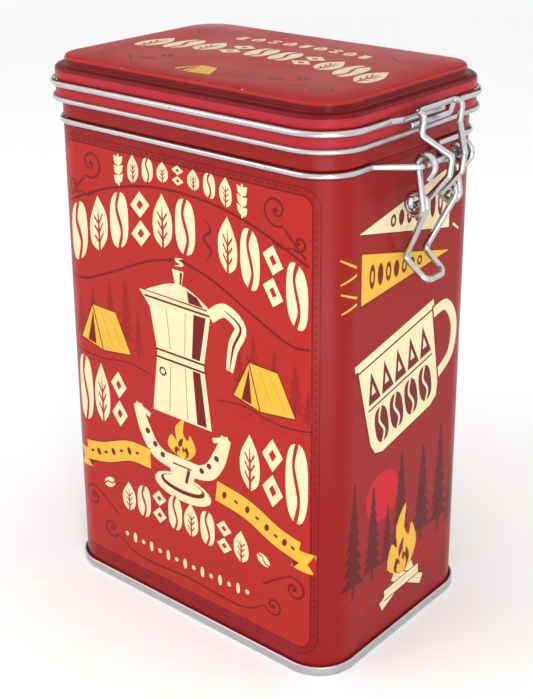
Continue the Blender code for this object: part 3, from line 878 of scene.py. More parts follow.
def pennant(art, tone, wide_x, tip_x, low, high, tip_z, marks):
    """A pennant with a row of marks that shrink towards its tip."""
    way = 1 if tip_x > wide_x else -1
    back_x = wide_x - 0.5 * way
    art.lay("line", [(back_x, low - 0.6), (tip_x + 1.4 * way, tip_z), (back_x, high + 0.6)])
    art.lay(tone, [(wide_x, low), (tip_x, tip_z), (wide_x, high)])
    for i in range(marks):
        t = 0.10 + 0.62 * i / marks
        tall = (high - low) * (1 - t) * 0.27
        x = wide_x + (tip_x - wide_x) * t + 0.6 * way
        z = (low + high) / 2 + (tip_z - (low + high) / 2) * t
        art.lay("line", oval(x, z, 1.35, tall, 0, 12))
        if i % 2 == 0:
            art.lay(tone, oval(x, z, 0.6, tall * 0.5, 0, 10))


def tin_mug(art, x, z):
    """A tilted camping mug with a rim, a band of peaks, a band of beans and a handle."""
    lean = math.radians(12.5)
    wide, base, high = 18.8, 17.2, 32.6

    def tilt(points):
        """The mug's own points, leaned and placed."""
        return turned(points, lean, x, z)

    handle = smooth([(17.6, 29.6), (26.0, 29.0), (29.2, 20.6), (25.6, 11.6), (17.0, 8.2)], 6)
    art.draw("cream", tilt(handle), 3.4)
    body = [(-wide, high), (-base - 0.5, 5.4), (-base + 1.0, 1.6), (-base + 4.4, 0.0), (base - 4.4, 0.0),
            (base - 1.0, 1.6), (base + 0.5, 5.4), (wide, high)]
    art.lay("line", tilt([(u * 1.04, v * 1.03 - 0.5) for u, v in body]))
    art.lay("cream", tilt(body))
    art.draw("line", tilt([(-wide, high - 1.4), (wide, high - 1.4)]), 0.6)
    art.draw("cream", tilt([(-wide - 1.2, high + 0.6), (wide + 1.2, high + 0.6)]), 2.1)
    peaks, beans = 5, 4
    for i in range(peaks):
        pitch = 33.0 / peaks
        left = -16.5 + pitch * i
        top = left + pitch / 2
        art.lay("line", tilt([(left + 0.3, 18.4), (left + pitch - 0.3, 18.4), (top, 28.6)]))
        art.lay("cream", tilt([(left + pitch * 0.34, 21.0), (left + pitch * 0.66, 21.0), (top, 24.6)]))
    for i in range(beans):
        pitch = 30.4 / beans
        middle = -15.2 + pitch * (i + 0.5)
        body = [squared(u, v) for u, v in oval(0.5, 0.5, 0.5, 0.5)]
        cleft = [(middle + 0.6, 15.0), (middle - 0.9, 11.0), (middle + 0.9, 6.4), (middle - 0.6, 3.2)]
        art.lay("line", tilt([(middle - 3.3 + 6.6 * u, 3.0 + 12.2 * v) for u, v in body]))
        art.lay("cream", tilt(stroke(smooth(cleft, 4), 0.9)))
    art.draw("line", tilt([(-16.6, 16.8), (16.6, 16.8)]), 0.6)


def narrow_panel(art, middle):
    """The narrow face's print: pennants, mug, setting sun, trees and camp fire."""
    art.at(middle)
    pennant(art, "cream", 20.2, -24.6, 128.0, 147.0, 137.4, 7)
    pennant(art, "yellow", -23.2, 20.8, 116.2, 131.4, 120.8, 7)
    for line in ([(-31.4, 131.6), (-25.6, 128.4)], [(-31.2, 124.4), (-25.4, 126.2)],
                 [(-31.0, 121.6), (-25.2, 119.4)], [(-30.8, 115.8), (-25.2, 117.6)]):
        art.draw("yellow", line, 1.0, 0.5, 0.8)
    for line in ([(22.4, 148.2), (25.4, 151.4)], [(23.0, 138.4), (26.8, 139.4)],
                 [(22.4, 128.6), (25.6, 126.2)]):
        art.draw("cream", line, 1.0, 0.8, 0.5)
    tin_mug(art, 1.3, 69.4)
    art.lay("sun", oval(-10.4, 51.4, 8.3, 8.3, 0, 36))
    for x, z, tall, wide in ((-24.6, 22.0, 39.5, 10.0), (-15.0, 24.0, 32.4, 9.6), (-7.4, 25.0, 22.0, 7.4),
                             (-0.6, 26.0, 36.0, 10.6), (11.0, 26.0, 34.0, 10.6), (20.6, 25.0, 38.0, 10.2),
                             (27.6, 23.0, 30.0, 7.4)):
        pine(art, "pine", x, z, tall, wide, 8)
    hatched_ground(art, "panel", -29.6, 29.0, 23.6, 6, 6.4)
    for x, lean in ((-1.4, 0.42), (4.4, -0.50), (1.2, 0.05)):
        ends = turned([(-9.2, 0.0), (9.2, 0.0)], lean, x, 15.6)
        art.draw("line", ends, 4.2)
        art.draw("cream", ends, 3.4)
        art.draw("line", ends, 0.4, 0.2, 0.2)
    flame(art, 0.8, 19.0, 16.6, 24.4)


def sheet_print():
    """The whole unrolled sheet: both wide faces and both narrow faces."""
    art = Print()
    for middle in (0.0, BACK):
        wide_panel(art, middle)
    for middle in (SIDE, -SIDE):
        narrow_panel(art, middle)
    return art


def lid_print():
    """The lid's raised panel, in plan: arched ornament bands, tent, trees, beans and scrolls."""
    art = Print()
    low, high = arch(-0.8, 11.6, 46.0), arch(12.0, 7.0, 46.0)
    large = [leaf_unit, bean_unit, leaf_unit, lozenge_unit, bean_unit, bean_unit, lozenge_unit, leaf_unit,
             bean_unit, leaf_unit]
    ornament_band(art, "cream", "panel", -46.4, 46.4, low, high, large, 0.12)
    small = [sprig_unit, leaf_unit, lozenge_unit, leaf_unit] * 2 + [sprig_unit]
    low, high = arch(18.4, 2.6, 27.0), arch(24.0, 2.6, 27.0)
    ornament_band(art, "cream", "panel", -27.0, 27.0, low, high, small, 0.3)
    for x, tall, wide in ((7.0, 12.0, 5.0), (11.6, 15.0, 5.6), (16.0, 11.0, 5.0), (-16.0, 10.0, 4.6),
                          (-12.0, 13.0, 5.0)):
        pine(art, "shade", x, -28.0, tall, wide)
    tent(art, -3.0, -29.0, 15.0, 9.6)
    for x, z, tilt in ((-26.0, -22.0, 0.3), (-24.0, -15.6, -0.5), (22.0, -20.4, 0.2), (28.0, -15.4, -0.4)):
        coffee_bean(art, x, z, 5.6, tilt, "line", "panel")
    for side in (-1, 1):
        art.at(0.0, side)
        scroll(art, -40.0, -23.6, 4.4, 1.4, math.radians(60),
               [(-37.8, -19.8), (-33.0, -22.6), (-28.0, -27.0)])
        scroll(art, -40.6, 21.2, 4.0, -1.4, math.radians(-60),
               [(-38.6, 17.8), (-34.0, 20.8), (-30.0, 24.6)])
    return art


# --- sheet --------------------------------------------------------------------------------

def around(distance):
    """The plan point on the wall and its outward direction, at a distance along the sheet."""
    left = (distance + FLAT_X) % PERIMETER
    corner = 0
    for length, along, across in ((2 * FLAT_X, (1, 0), (0, -1)), (2 * FLAT_Y, (0, 1), (1, 0)),
                                  (2 * FLAT_X, (-1, 0), (0, 1)), (2 * FLAT_Y, (0, -1), (-1, 0))):
        out = Vector(across)
        run = Vector(along)
        start = Vector((out.x * HALF_X, out.y * HALF_Y)) - run * (length / 2)
        if left <= length:
            return start + run * left, out
        left -= length
        middle = Vector((FLAT_X if corner in (0, 1) else -FLAT_X, -FLAT_Y if corner in (0, 3) else FLAT_Y))
        if left <= QUARTER:
            a = math.pi / 2 * (corner - 1) + left / CORNER
            turned = Vector((math.cos(a), math.sin(a)))
            return middle + turned * CORNER, turned
        left -= QUARTER
        corner += 1
    return around(distance + PERIMETER * 1e-9)


def columns():
    """Distances along the sheet at which its mesh has an upright line, from seam to seam."""
    stops = []
    here = -FLAT_X
    for flat in (2 * FLAT_X, 2 * FLAT_Y, 2 * FLAT_X, 2 * FLAT_Y):
        count = math.ceil(flat / FLAT_COLUMN)
        stops += [here + flat * i / count for i in range(count)]
        here += flat
        stops += [here + QUARTER * i / CORNER_STEPS for i in range(CORNER_STEPS)]
        here += QUARTER
    stops = sorted((stop - LAP_SEAM) % PERIMETER for stop in stops)
    stops = [stop for stop in stops if 0.2 < stop < PERIMETER - 0.2]
    return [LAP_SEAM, *(LAP_SEAM + stop for stop in stops), LAP_SEAM + PERIMETER]


def groove(face, middle_z, depth):
    """A round-bottomed groove in an upright wall, listed from its lower edge to its upper."""
    half = WIRE_RADIUS + GROOVE_MARGIN
    points = []
    for i in range(GROOVE_STEPS + 1):
        across = 2 * i / GROOVE_STEPS - 1
        points.append((face - depth * (0.5 + 0.5 * math.cos(math.pi * across)), middle_z + half * across))
    return points


def inner_side(path):
    """The sheet's other side: the path moved to its left by the sheet's thickness."""
    moved = []
    for i, point in enumerate(path):
        here = Vector(point)
        before = here - Vector(path[i - 1]) if i > 0 else Vector(path[1]) - here
        after = Vector(path[i + 1]) - here if i + 1 < len(path) else before
        normal = (before.orthogonal().normalized() + after.orthogonal().normalized()).normalized()
        spread = max(0.5, normal.dot(before.orthogonal().normalized()))
        moved.append(tuple(here + normal * SHEET / spread))
    return moved


def covered(loop, places):
    """Which of the places lie inside a closed loop, by its winding number."""
    ends = np.array(loop)
    after = np.roll(ends, -1, axis=0)
    x, z = places[:, :1], places[:, 1:]
    side = (after[:, 0] - ends[:, 0]) * (z - ends[:, 1]) - (x - ends[:, 0]) * (after[:, 1] - ends[:, 1])
    upwards = (ends[:, 1] <= z) & (after[:, 1] > z) & (side > 0)
    downwards = (ends[:, 1] > z) & (after[:, 1] <= z) & (side < 0)
    return upwards.sum(axis=1) != downwards.sum(axis=1)


def inked_mesh(art, outer, lines, ground):
    """Triangles of a printed region: points, faces and each face's ink.

    outer is the region's edge in order; lines are further edges that the mesh must have.
    Also returns the number that each outer point has among the points.
    """
    coords = [Vector(point) for point in outer]
    edges = [(i, (i + 1) % len(outer)) for i in range(len(outer))]
    edges += lines
    for _, loop in art.shapes:
        start = len(coords)
        edges += [(start + i, start + (i + 1) % len(loop)) for i in range(len(loop))]
        coords += [Vector(point) for point in loop]
    points, _, faces, sources, _, _ = delaunay_2d_cdt(coords, edges, [], 0, MESH_EPSILON, True)
    numbers = {}
    for number, origin in enumerate(sources):
        for source in origin:
            numbers[source] = number
    flat = np.array([tuple(point) for point in points])
    middles = flat[np.array([list(face) for face in faces])].mean(axis=1)
    inks = np.array([ground] * len(faces), dtype=object)
    order = np.argsort(middles[:, 0])
    sorted_x = middles[order, 0]
    for ink_name, loop in art.shapes:
        xs = [point[0] for point in loop]
        near = order[np.searchsorted(sorted_x, min(xs)):np.searchsorted(sorted_x, max(xs))]
        zs = [point[1] for point in loop]
        near = near[(middles[near, 1] > min(zs)) & (middles[near, 1] < max(zs))]
        if len(near):
            inks[near[covered(loop, middles[near])]] = ink_name
    return points, faces, inks, [numbers[i] for i in range(len(outer))]


def slot_numbers(mesh, names, ground):
    """Gives the mesh its materials and returns the slot number of each name."""
    makers = {"bare": bare_tinplate, "gasket": gasket_rubber}
    numbers = {}
    for name in names:
        if name in makers:
            material = makers[name]()
        else:
            material = ink(name, ground if name in ("cream", "yellow") else None)
        numbers[name] = len(mesh.materials)
        mesh.materials.append(material)
    return numbers


def offset_row(shape, stops, offset, z):
    """One ring of vertices round the tin, at an offset from the wall and a height."""
    row = []
    for stop in stops:
        place, out = around(stop)
        place = place + out * offset
        row.append(shape.verts.new(((place.x + CENTRE.x) * MM, place.y * MM, z * MM)))
    return row


def band(shape, low, high, slot):
    """Faces between two rings of vertices."""
    for i in range(len(low)):
        after = (i + 1) % len(low)
        face = shape.faces.new((low[i], low[after], high[after], high[i]))
        face.material_index = slot
        face.smooth = True


def new_piece(name, mesh, body, replaced):
    """An object that stands for a CAD node and rides on its body."""
    piece = bpy.data.objects.new(name, mesh)
    bpy.context.scene.collection.objects.link(piece)
    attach(piece, body)
    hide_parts(replaced)
    return piece


def finish_sheet(mesh, shape, upright=()):
    """Writes the built shape to its mesh, sharp where it is creased; faces listed in upright
    keep the exact curve of the wall in their shading."""
    bmesh.ops.recalc_face_normals(shape, faces=shape.faces)
    shape.to_mesh(mesh)
    shape.free()
    mesh.set_sharp_from_angle(angle=math.radians(40))
    if not upright:
        return
    normals = [Vector() for _ in mesh.loops]
    for number in upright:
        for loop in mesh.polygons[number].loop_indices:
            corner = mesh.vertices[mesh.loops[loop].vertex_index].co
            x = corner.x / MM - CENTRE.x
            y = corner.y / MM
            inner = Vector((max(-FLAT_X, min(FLAT_X, x)), max(-FLAT_Y, min(FLAT_Y, y))))
            out = Vector((x, y)) - inner
            normals[loop] = Vector((out.x, out.y, 0)).normalized()
    mesh.normals_split_custom_set(normals)


def build_body_wall():
    """The body: printed sheet, groove, rolled edge and bare inside."""
    mesh = bpy.data.meshes.new("body_sheet")
    slots = slot_numbers(mesh, (*INKS, "bare"), "panel")
    art = sheet_print()
    stops = columns()
    low_edge = [(stop, PRINT_LOW) for stop in stops]
    high_edge = [(stop, PRINT_HIGH) for stop in reversed(stops)]
    count = len(stops)
    lines = [(i, 2 * count - 1 - i) for i in range(1, count - 1)]
    points, faces, inks, edge = inked_mesh(art, low_edge + high_edge, lines, "field")

    shape = bmesh.new()
    verts = []
    for point in points:
        place, _ = around(point.x)
        verts.append(shape.verts.new(((place.x + CENTRE.x) * MM, place.y * MM, point.y * MM)))
    low_row = [verts[i] for i in edge[:count]]
    high_row = [verts[i] for i in edge[count:]][::-1]
    merged = {low_row[-1]: low_row[0], high_row[-1]: high_row[0]}
    for face, ink_name in zip(faces, inks):
        corners = [merged.get(verts[i], verts[i]) for i in face]
        made = shape.faces.new(corners)
        made.material_index = slots[ink_name]
        made.smooth = True
    for vert in merged:
        shape.verts.remove(vert)
    upright = range(len(faces))

    ring = stops[:-1]
    bare = slots["bare"]
    rim = (-SHEET, RIM_TOP - RIM_RADIUS)
    meets = math.asin(SHEET / RIM_RADIUS)
    face = groove(0, BODY_HOOP_Z, BODY_GROOVE_DEPTH)[1:]
    face.append((0, rim[1] - RIM_RADIUS * math.cos(meets)))
    roll = arc(rim, RIM_RADIUS, -math.pi / 2 + meets, 3 * math.pi / 2, math.radians(20))[1:]
    inside = inner_side([(0, PRINT_LOW), (0, PRINT_HIGH), *face])[:-1][::-1]
    before = high_row[:-1]
    for offset, z in face:
        row = offset_row(shape, ring, offset, z)
        band(shape, before, row, slots["field"])
        before = row
    for offset, z in roll + inside:
        row = offset_row(shape, ring, offset, z)
        band(shape, before, row, bare)
        before = row
    band(shape, before, low_row[:-1], bare)
    finish_sheet(mesh, shape, upright)
    return new_piece("body_sheet", mesh, "tin", "body_wall")


def closed_section(name, section, slot_name, capped):
    """A section of (offset, height) points swept round the tin, in one finish."""
    mesh = bpy.data.meshes.new(name)
    slots = slot_numbers(mesh, (slot_name,), None)
    shape = bmesh.new()
    ring = columns()[:-1]
    rows = [offset_row(shape, ring, offset, z) for offset, z in section]
    for low, high in zip(rows, rows[1:]):
        band(shape, low, high, slots[slot_name])
    if capped:
        for row in (rows[0], rows[-1]):
            shape.faces.new(row)
    else:
        band(shape, rows[-1], rows[0], slots[slot_name])
    finish_sheet(mesh, shape)
    return mesh


def build_base():
    """The base: a recessed panel, hooked round the wall's foot by the double seam."""
    inner = -SHEET - GAP - SHEET
    outer = GAP + SEAM_LEG
    quarter = math.pi / 2
    step = math.radians(18)
    turn = (inner - BASE_FILLET, BASE_RECESS - BASE_FILLET)
    section = arc(turn, BASE_FILLET, quarter, 0, step)
    section += arc((inner + SEAM_EDGE, SEAM_EDGE), SEAM_EDGE, 2 * quarter, 3 * quarter, step)
    section += arc((outer - SEAM_EDGE, SEAM_EDGE), SEAM_EDGE, -quarter, 0, step)
    section += arc((GAP + SEAM_LEG / 2, SEAM_HEIGHT - SEAM_LEG / 2), SEAM_LEG / 2, 0, 2 * quarter, step)
    section += [(GAP, SHEET), (-SHEET - GAP, SHEET)]
    section += arc(turn, BASE_FILLET + SHEET, 0, quarter, step)
    mesh = closed_section("base_seam", section, "bare", True)
    return new_piece("base_seam", mesh, "tin", "base_panel")


def build_seal():
    """The gasket under the lid's ledge, with softened edges."""
    inner = -SHEET - RIM_RADIUS - SEAL_OVERHANG
    outer = -SHEET + RIM_RADIUS + SEAL_REACH
    low = RIM_TOP + GAP
    high = low + SEAL_THICKNESS
    soft = 0.3
    section = []
    for i, (offset, z) in enumerate(((inner, low), (outer, low), (outer, high), (inner, high))):
        middle = (offset + (soft if offset == inner else -soft), z + (soft if z == low else -soft))
        start = math.pi + math.pi / 2 * i
        section += arc(middle, soft, start, start + math.pi / 2, math.radians(30))
    mesh = closed_section("seal_ring", section, "gasket", False)
    return new_piece("seal_ring", mesh, "lid", "lid_seal")


def build_lid():
    """The lid: printed panel, riser and ledge in a darker red of painted shade, grooved skirt in a paler red
    of painted reflection, bare curl and bare inside.
    """
    mesh = bpy.data.meshes.new("lid_sheet")
    slots = slot_numbers(mesh, (*INKS, "bare"), "panel")
    quarter = math.pi / 2
    fine = math.radians(15)
    edge = -PANEL_INSET
    ring = columns()[:-1]
    art = lid_print()
    outer = []
    for stop in ring:
        place, out = around(stop)
        outer.append(tuple(place + out * (edge - PANEL_EDGE)))
    points, faces, inks, numbers = inked_mesh(art, outer, [], "panel")
    shape = bmesh.new()
    fold = shape.verts.layers.float.new("fold")
    verts = [shape.verts.new(((p.x + CENTRE.x) * MM, p.y * MM, TIN_HEIGHT * MM)) for p in points]
    for face, ink_name in zip(faces, inks):
        made = shape.faces.new([verts[i] for i in face])
        made.material_index = slots[ink_name]
        made.smooth = True

    panel_edge = arc((edge - PANEL_EDGE, TIN_HEIGHT - PANEL_EDGE), PANEL_EDGE, quarter, 0, fine)
    riser = (edge + RISER_FOOT, LEDGE_Z + RISER_FOOT)
    foot = arc(riser, RISER_FOOT, 2 * quarter, 3 * quarter, fine)
    ledge = arc((SKIRT_FACE - LEDGE_EDGE, LEDGE_Z - LEDGE_EDGE), LEDGE_EDGE, quarter, 0, fine)
    sheened_skirt = groove(SKIRT_FACE, LID_HOOP_Z, LID_GROOVE_DEPTH)[::-1]
    outward = math.acos((SKIRT_FACE - CURL_MIDDLE) / CURL_RADIUS)
    sheened_skirt.append((SKIRT_FACE, CURL_Z + CURL_RADIUS * math.sin(outward)))
    curl = arc((CURL_MIDDLE, CURL_Z), CURL_RADIUS, outward, -math.pi, math.radians(20))
    top = panel_edge + foot + ledge + sheened_skirt
    inside = [(offset, -z) for offset, z in inner_side([(o, -z) for o, z in top[:-1]])][::-1]

    before = [verts[i] for i in numbers]
    # The riser and ledge take a darker red, which is painted shade.
    for slot_name, run, wear in (("panel", panel_edge[1:], 1.0), ("ledge_shade", foot, 0.0), ("ledge_shade", ledge, 0.8),
                                 # The skirt's paler, pinker red is painted reflection of the white room.
                                 ("sheened_skirt", sheened_skirt, 0.0), ("bare", curl[1:] + inside, 0.0)):
        for offset, z in run:
            row = offset_row(shape, ring, offset, z)
            for vert in row:
                vert[fold] = wear
            band(shape, before, row, slots[slot_name])
            before = row
    under = shape.faces.new(before)
    under.material_index = slots["bare"]
    under.smooth = True
    finish_sheet(mesh, shape)
    return new_piece("lid_sheet", mesh, "lid", "lid_shell")


# --- wire ---------------------------------------------------------------------------------

def bent(corners):
    """A wire's route from (corner, bend radius) pairs; a radius of 0 is a plain point."""
    route = [corners[0][0]]
    for (before, _), (corner, radius), (after, _) in zip(corners, corners[1:], corners[2:]):
        arrive = (corner - before).normalized()
        leave = (after - corner).normalized()
        turn = arrive.angle(leave)
        if radius == 0 or turn < 0.01:
            route.append(corner)
            continue
        start = corner - arrive * radius * math.tan(turn / 2)
        inwards = (leave - arrive * arrive.dot(leave)).normalized()
        count = max(1, math.ceil(turn / BEND_STEP - 0.001))
        for i in range(count + 1):
            a = turn * i / count
            route.append(start + arrive * radius * math.sin(a) + inwards * radius * (1 - math.cos(a)))
    route.append(corners[-1][0])
    return route


def coil(middle, outwards, radius, start, stop, y_start, y_stop):
    """Plain points of a wire wound round a bar along Y; angles open from outwards to +Z."""
    count = max(1, math.ceil(abs(stop - start) / COIL_STEP - 0.001))
    points = []
    for i in range(count + 1):
        a = start + (stop - start) * i / count
        y = y_start + (y_stop - y_start) * i / count
        offset = Vector((outwards * radius * math.cos(a), 0, radius * math.sin(a)))
        points.append((Vector((middle.x, y, middle.z)) + offset, 0))
    return points


def mirrored(corners):
    """The same corners on the other side of the XZ plane, in reverse order."""
    return [(Vector((p.x, -p.y, p.z)), radius) for p, radius in reversed(corners)]


def hoop_corner(side_x, side_y, out, z):
    """Plain points of a hoop's corner, from the X side."""
    middle = (side_x * FLAT_X, side_y * FLAT_Y)
    start = 0 if side_x > 0 else math.pi
    stop = start + side_x * side_y * math.pi / 2
    points = arc(middle, CORNER + out, start, stop, math.pi / 2 / CORNER_STEPS)
    return [(Vector((x, y, z)), 0) for x, y in points]


def body_hoop_route():
    """The body hoop: clasp eye, round the back, hinge bar, round the front, clasp axle."""
    wall = HALF_X + BODY_HOOP_OUT
    z = BODY_HOOP_Z
    stay_radius = WIRE + STAY_PLAY
    stay_y = (LINK_NECK + LEVER_HALF) / 2
    low = z - stay_radius
    route = coil(AXLE, 1, stay_radius, STAY_TIP_ANGLE, -math.pi / 2, stay_y, stay_y)
    stay_end = LEVER_HALF + WIRE_PITCH
    route += [(Vector((AXLE.x - AXLE_OUT / 2, stay_y, low)), TIGHT_BEND),
              (Vector((wall, stay_end, z)), TIGHT_BEND)]
    route += hoop_corner(1, 1, BODY_HOOP_OUT, z)
    back = hoop_corner(-1, 1, BODY_HOOP_OUT, z)[::-1]
    back += [(Vector((-wall, HINGE_BAR_HALF + HINGE_JOG, z)), TIGHT_BEND),
             (Vector((HINGE.x, HINGE_BAR_HALF, z)), TIGHT_BEND)]
    route += back + mirrored(back)
    route += hoop_corner(1, -1, BODY_HOOP_OUT, z)[::-1]
    axle_start = LEVER_HALF + WIRE_PITCH + GAP
    route += [(Vector((wall, -axle_start - AXLE_RUN, z)), TIGHT_BEND),
              (Vector((AXLE.x, -axle_start, z)), TIGHT_BEND),
              (Vector((AXLE.x, LEVER_HALF + WIRE_RADIUS + AXLE_END_GAP, z)), 0)]
    return bent(route)


def lid_hoop_route():
    """The lid hoop: its ends lie one over the other at the clasp and it coils at the hinge."""
    z = LID_HOOP_Z
    side = HALF_X + LID_HOOP_OUT
    clasp = HALF_X + CLASP_HOOP_OUT
    leg = -HALF_X - HINGE_LEG_OUT
    corner_y = HINGE_LEG_Y
    pitch = WIRE_PITCH
    turns = 1.25
    route = [(Vector((clasp, OVERLAP_HALF, z)), 0),
             (Vector((clasp, -BULGE_HALF, z)), SOFT_BEND),
             (Vector((side, -BULGE_HALF - BULGE_JOG, z)), SOFT_BEND)]
    route += hoop_corner(1, -1, LID_HOOP_OUT, z)
    hinge = hoop_corner(-1, -1, LID_HOOP_OUT, z)[::-1]
    hinge += [(Vector((-side, -corner_y - 2 * LEG_JOG, z)), TIGHT_BEND),
              (Vector((leg, -corner_y - LEG_JOG, z)), TIGHT_BEND),
              (Vector((leg, -corner_y, z)), TIGHT_BEND)]
    coil_end = -corner_y + turns * pitch
    hinge += coil(HINGE, -1, pitch, math.pi, math.pi + turns * math.tau, -corner_y, coil_end)
    hinge.append((Vector((HINGE.x - CROSSBAR_REACH, coil_end, HINGE.z - pitch)), TIGHT_BEND))
    route += hinge + mirrored(hinge)
    route += hoop_corner(1, 1, LID_HOOP_OUT, z)[::-1]
    route += [(Vector((side, BULGE_HALF + BULGE_JOG, z)), SOFT_BEND),
              (Vector((clasp, BULGE_HALF, z - pitch)), SOFT_BEND),
              (Vector((clasp, -OVERLAP_HALF, z - pitch)), 0)]
    return bent(route)


def lever_route():
    """The lever: a hook over the axle, a leg, the link's eye, an arm and the finger tab."""
    reach = EYE - AXLE
    spread = math.hypot(reach.x, reach.z)
    leg_lean = math.asin((HOOK_RADIUS + EYE_RADIUS) / spread) - math.atan2(-reach.x, -reach.z)
    low = Vector((HALF_X + WIRE_RADIUS + ARM_WALL_GAP, -ARM_HALF, EYE.z - ARM_DROP))
    inset = EYE.x - low.x
    arm_lean = math.atan2(inset, ARM_DROP) + math.asin(EYE_RADIUS / math.hypot(inset, ARM_DROP))
    arm_y = -LEVER_HALF + WIRE_PITCH
    half = coil(AXLE, 1, HOOK_RADIUS, HOOK_TIP_ANGLE, math.pi + leg_lean, -LEVER_HALF, -LEVER_HALF)
    along = Vector((math.sin(HOOK_TIP_ANGLE), 0, -math.cos(HOOK_TIP_ANGLE)))
    half.insert(0, (half[0][0] + along * HOOK_TIP, 0))
    half += coil(EYE, 1, EYE_RADIUS, leg_lean, -math.tau - arm_lean, -LEVER_HALF, arm_y)
    half.append((low, TIGHT_BEND))
    half.append((low + Vector((TAB_OUT, ARM_HALF - TAB_HALF, -TAB_DROP)), TAB_BEND))
    return bent(half + mirrored(half))


def link_route():
    """The link as it lies at rest: stub, neck past the axle, leg and crossbar."""
    neck_x = AXLE.x + WIRE + 2 * GAP
    leg_x = HALF_X + CLASP_HOOP_OUT + WIRE + LINK_LEG_GAP
    bar_x = HALF_X + CLASP_HOOP_OUT - CROSSBAR_SEAT
    bar_z = LID_HOOP_Z + WIRE + GAP
    stub_y = LEVER_HALF + WIRE_PITCH
    half = [(Vector((EYE.x, -stub_y, EYE.z + STUB_TIP)), 0),
            (Vector((EYE.x, -stub_y, EYE.z)), TIGHT_BEND),
            (Vector((EYE.x, -LINK_NECK, EYE.z)), TIGHT_BEND),
            (Vector((neck_x, -LINK_NECK, AXLE.z - NECK_DOWN)), TIGHT_BEND),
            (Vector((neck_x, -LINK_NECK, AXLE.z + NECK_UP)), TIGHT_BEND),
            (Vector((leg_x, -LINK_HALF, LID_HOOP_Z - LINK_SHOULDER_DROP)), TIGHT_BEND),
            (Vector((leg_x, -LINK_HALF, bar_z)), TIGHT_BEND),
            (Vector((bar_x, -LINK_HALF, bar_z)), TIGHT_BEND)]
    turn = Matrix.Rotation(LINK_TILT, 3, "Y")
    return [EYE + turn @ (point - EYE) for point in bent(half + mirrored(half))]


def tidy_route(route):
    """The route without points that coincide."""
    kept = [route[0]]
    for point in route[1:]:
        if (point - kept[-1]).length > 0.02:
            kept.append(point)
    return kept


def build_wire(name, route, body, replaced):
    """A round wire along a route, with filed ends and a run attribute for its drawn streaks."""
    route = tidy_route(route)
    shape = bmesh.new()
    run = shape.verts.layers.float_vector.new("run")
    directions = []
    for i, point in enumerate(route):
        before = point - route[i - 1] if i else route[1] - point
        after = route[i + 1] - point if i + 1 < len(route) else before
        directions.append((before.normalized() + after.normalized()).normalized())
    filed = 0.22
    first, last = route[0], route[-1]
    path = [(first, directions[0], 1 - filed), (first + directions[0] * filed, directions[0], 1.0)]
    path += [(point, way, 1.0) for point, way in zip(route[1:-1], directions[1:-1])]
    path += [(last - directions[-1] * filed, directions[-1], 1.0), (last, directions[-1], 1 - filed)]
    side = directions[0].orthogonal().normalized()
    rings = []
    length = 0.0
    for i, (point, way, share) in enumerate(path):
        if i:
            length += (point - path[i - 1][0]).length
        side = (side - way * side.dot(way)).normalized()
        across = way.cross(side)
        ring = []
        for k in range(WIRE_SIDES):
            a = math.tau * k / WIRE_SIDES
            out = side * math.cos(a) + across * math.sin(a)
            vert = shape.verts.new((point + out * WIRE_RADIUS * share + CENTRE) * MM)
            vert[run] = (length * 0.12, math.cos(a) * 1.6, math.sin(a) * 1.6)
            ring.append(vert)
        rings.append(ring)
    for low, high in zip(rings, rings[1:]):
        band(shape, low, high, 0)
    shape.faces.new(rings[0])
    shape.faces.new(rings[-1])
    mesh = bpy.data.meshes.new(name)
    mesh.materials.append(bright_wire())
    finish_sheet(mesh, shape)
    return new_piece(name, mesh, body, replaced)


# --- studio -------------------------------------------------------------------------------

def matte(name, tint, grain, evenness, roughness):
    """A dull studio surface whose grain darkens it at most to a share, its evenness."""
    material, tree, shader = new_material(name)
    if tree is None:
        return material
    place = put(tree, "ShaderNodeTexCoord").outputs["Object"]
    tone = ramp(tree, speckle(tree, place, grain), 0.3, 0.7, evenness, 1.0)
    grey = put(tree, "ShaderNodeCombineColor", {0: tone, 1: tone, 2: tone}).outputs[0]
    tree.links.new(blend_colour(tree, 1.0, (*tint, 1), grey, "MULTIPLY"), shader.inputs["Base Color"])
    shader.inputs["Roughness"].default_value = roughness
    return material


def stage_piece(name, mesh, material):
    """A piece of the studio, which is no part of the tin."""
    mesh.materials.append(material)
    piece = bpy.data.objects.new(name, mesh)
    bpy.context.scene.collection.objects.link(piece)
    return piece


def build_floor(studio):
    """The pale floor just under the tin."""
    mesh = bpy.data.meshes.new("studio_floor")
    shape = bmesh.new()
    tiles = studio.floor_tiles
    bmesh.ops.create_grid(shape, x_segments=tiles, y_segments=tiles, size=FLOOR_HALF)
    shape.to_mesh(mesh)
    shape.free()
    floor = stage_piece("studio_floor", mesh, matte("studio_floor", studio.floor, 3.0, 0.985, 0.9))
    floor.location.z = -FLOOR_DROP


def build_card(studio):
    """A black card behind the tin that keeps the white room out of the lid's shine."""
    mesh = bpy.data.meshes.new("dark_card")
    corners = [(x * CARD_HALF_WIDE, 0, z * CARD_HALF_HIGH) for x, z in ((-1, -1), (1, -1), (1, 1), (-1, 1))]
    mesh.from_pydata(corners, [], [(0, 1, 2, 3)])
    card = stage_piece("dark_card", mesh, matte("dark_card", (0.016, 0.016, 0.016), 40.0, 0.625, 1.0))
    card.location = CARD_PLACE
    card.rotation_euler.z = studio.yaw


def area_light(name, place, aim, size, power):
    """A soft rectangular light, aimed at a point."""
    data = bpy.data.lights.new(name, "AREA")
    data.shape = "RECTANGLE"
    data.size, data.size_y = size
    data.energy = power
    lamp = bpy.data.objects.new(name, data)
    lamp.location = place
    lamp.rotation_euler = (Vector(aim) - Vector(place)).to_track_quat("-Z", "Y").to_euler()
    bpy.context.scene.collection.objects.link(lamp)


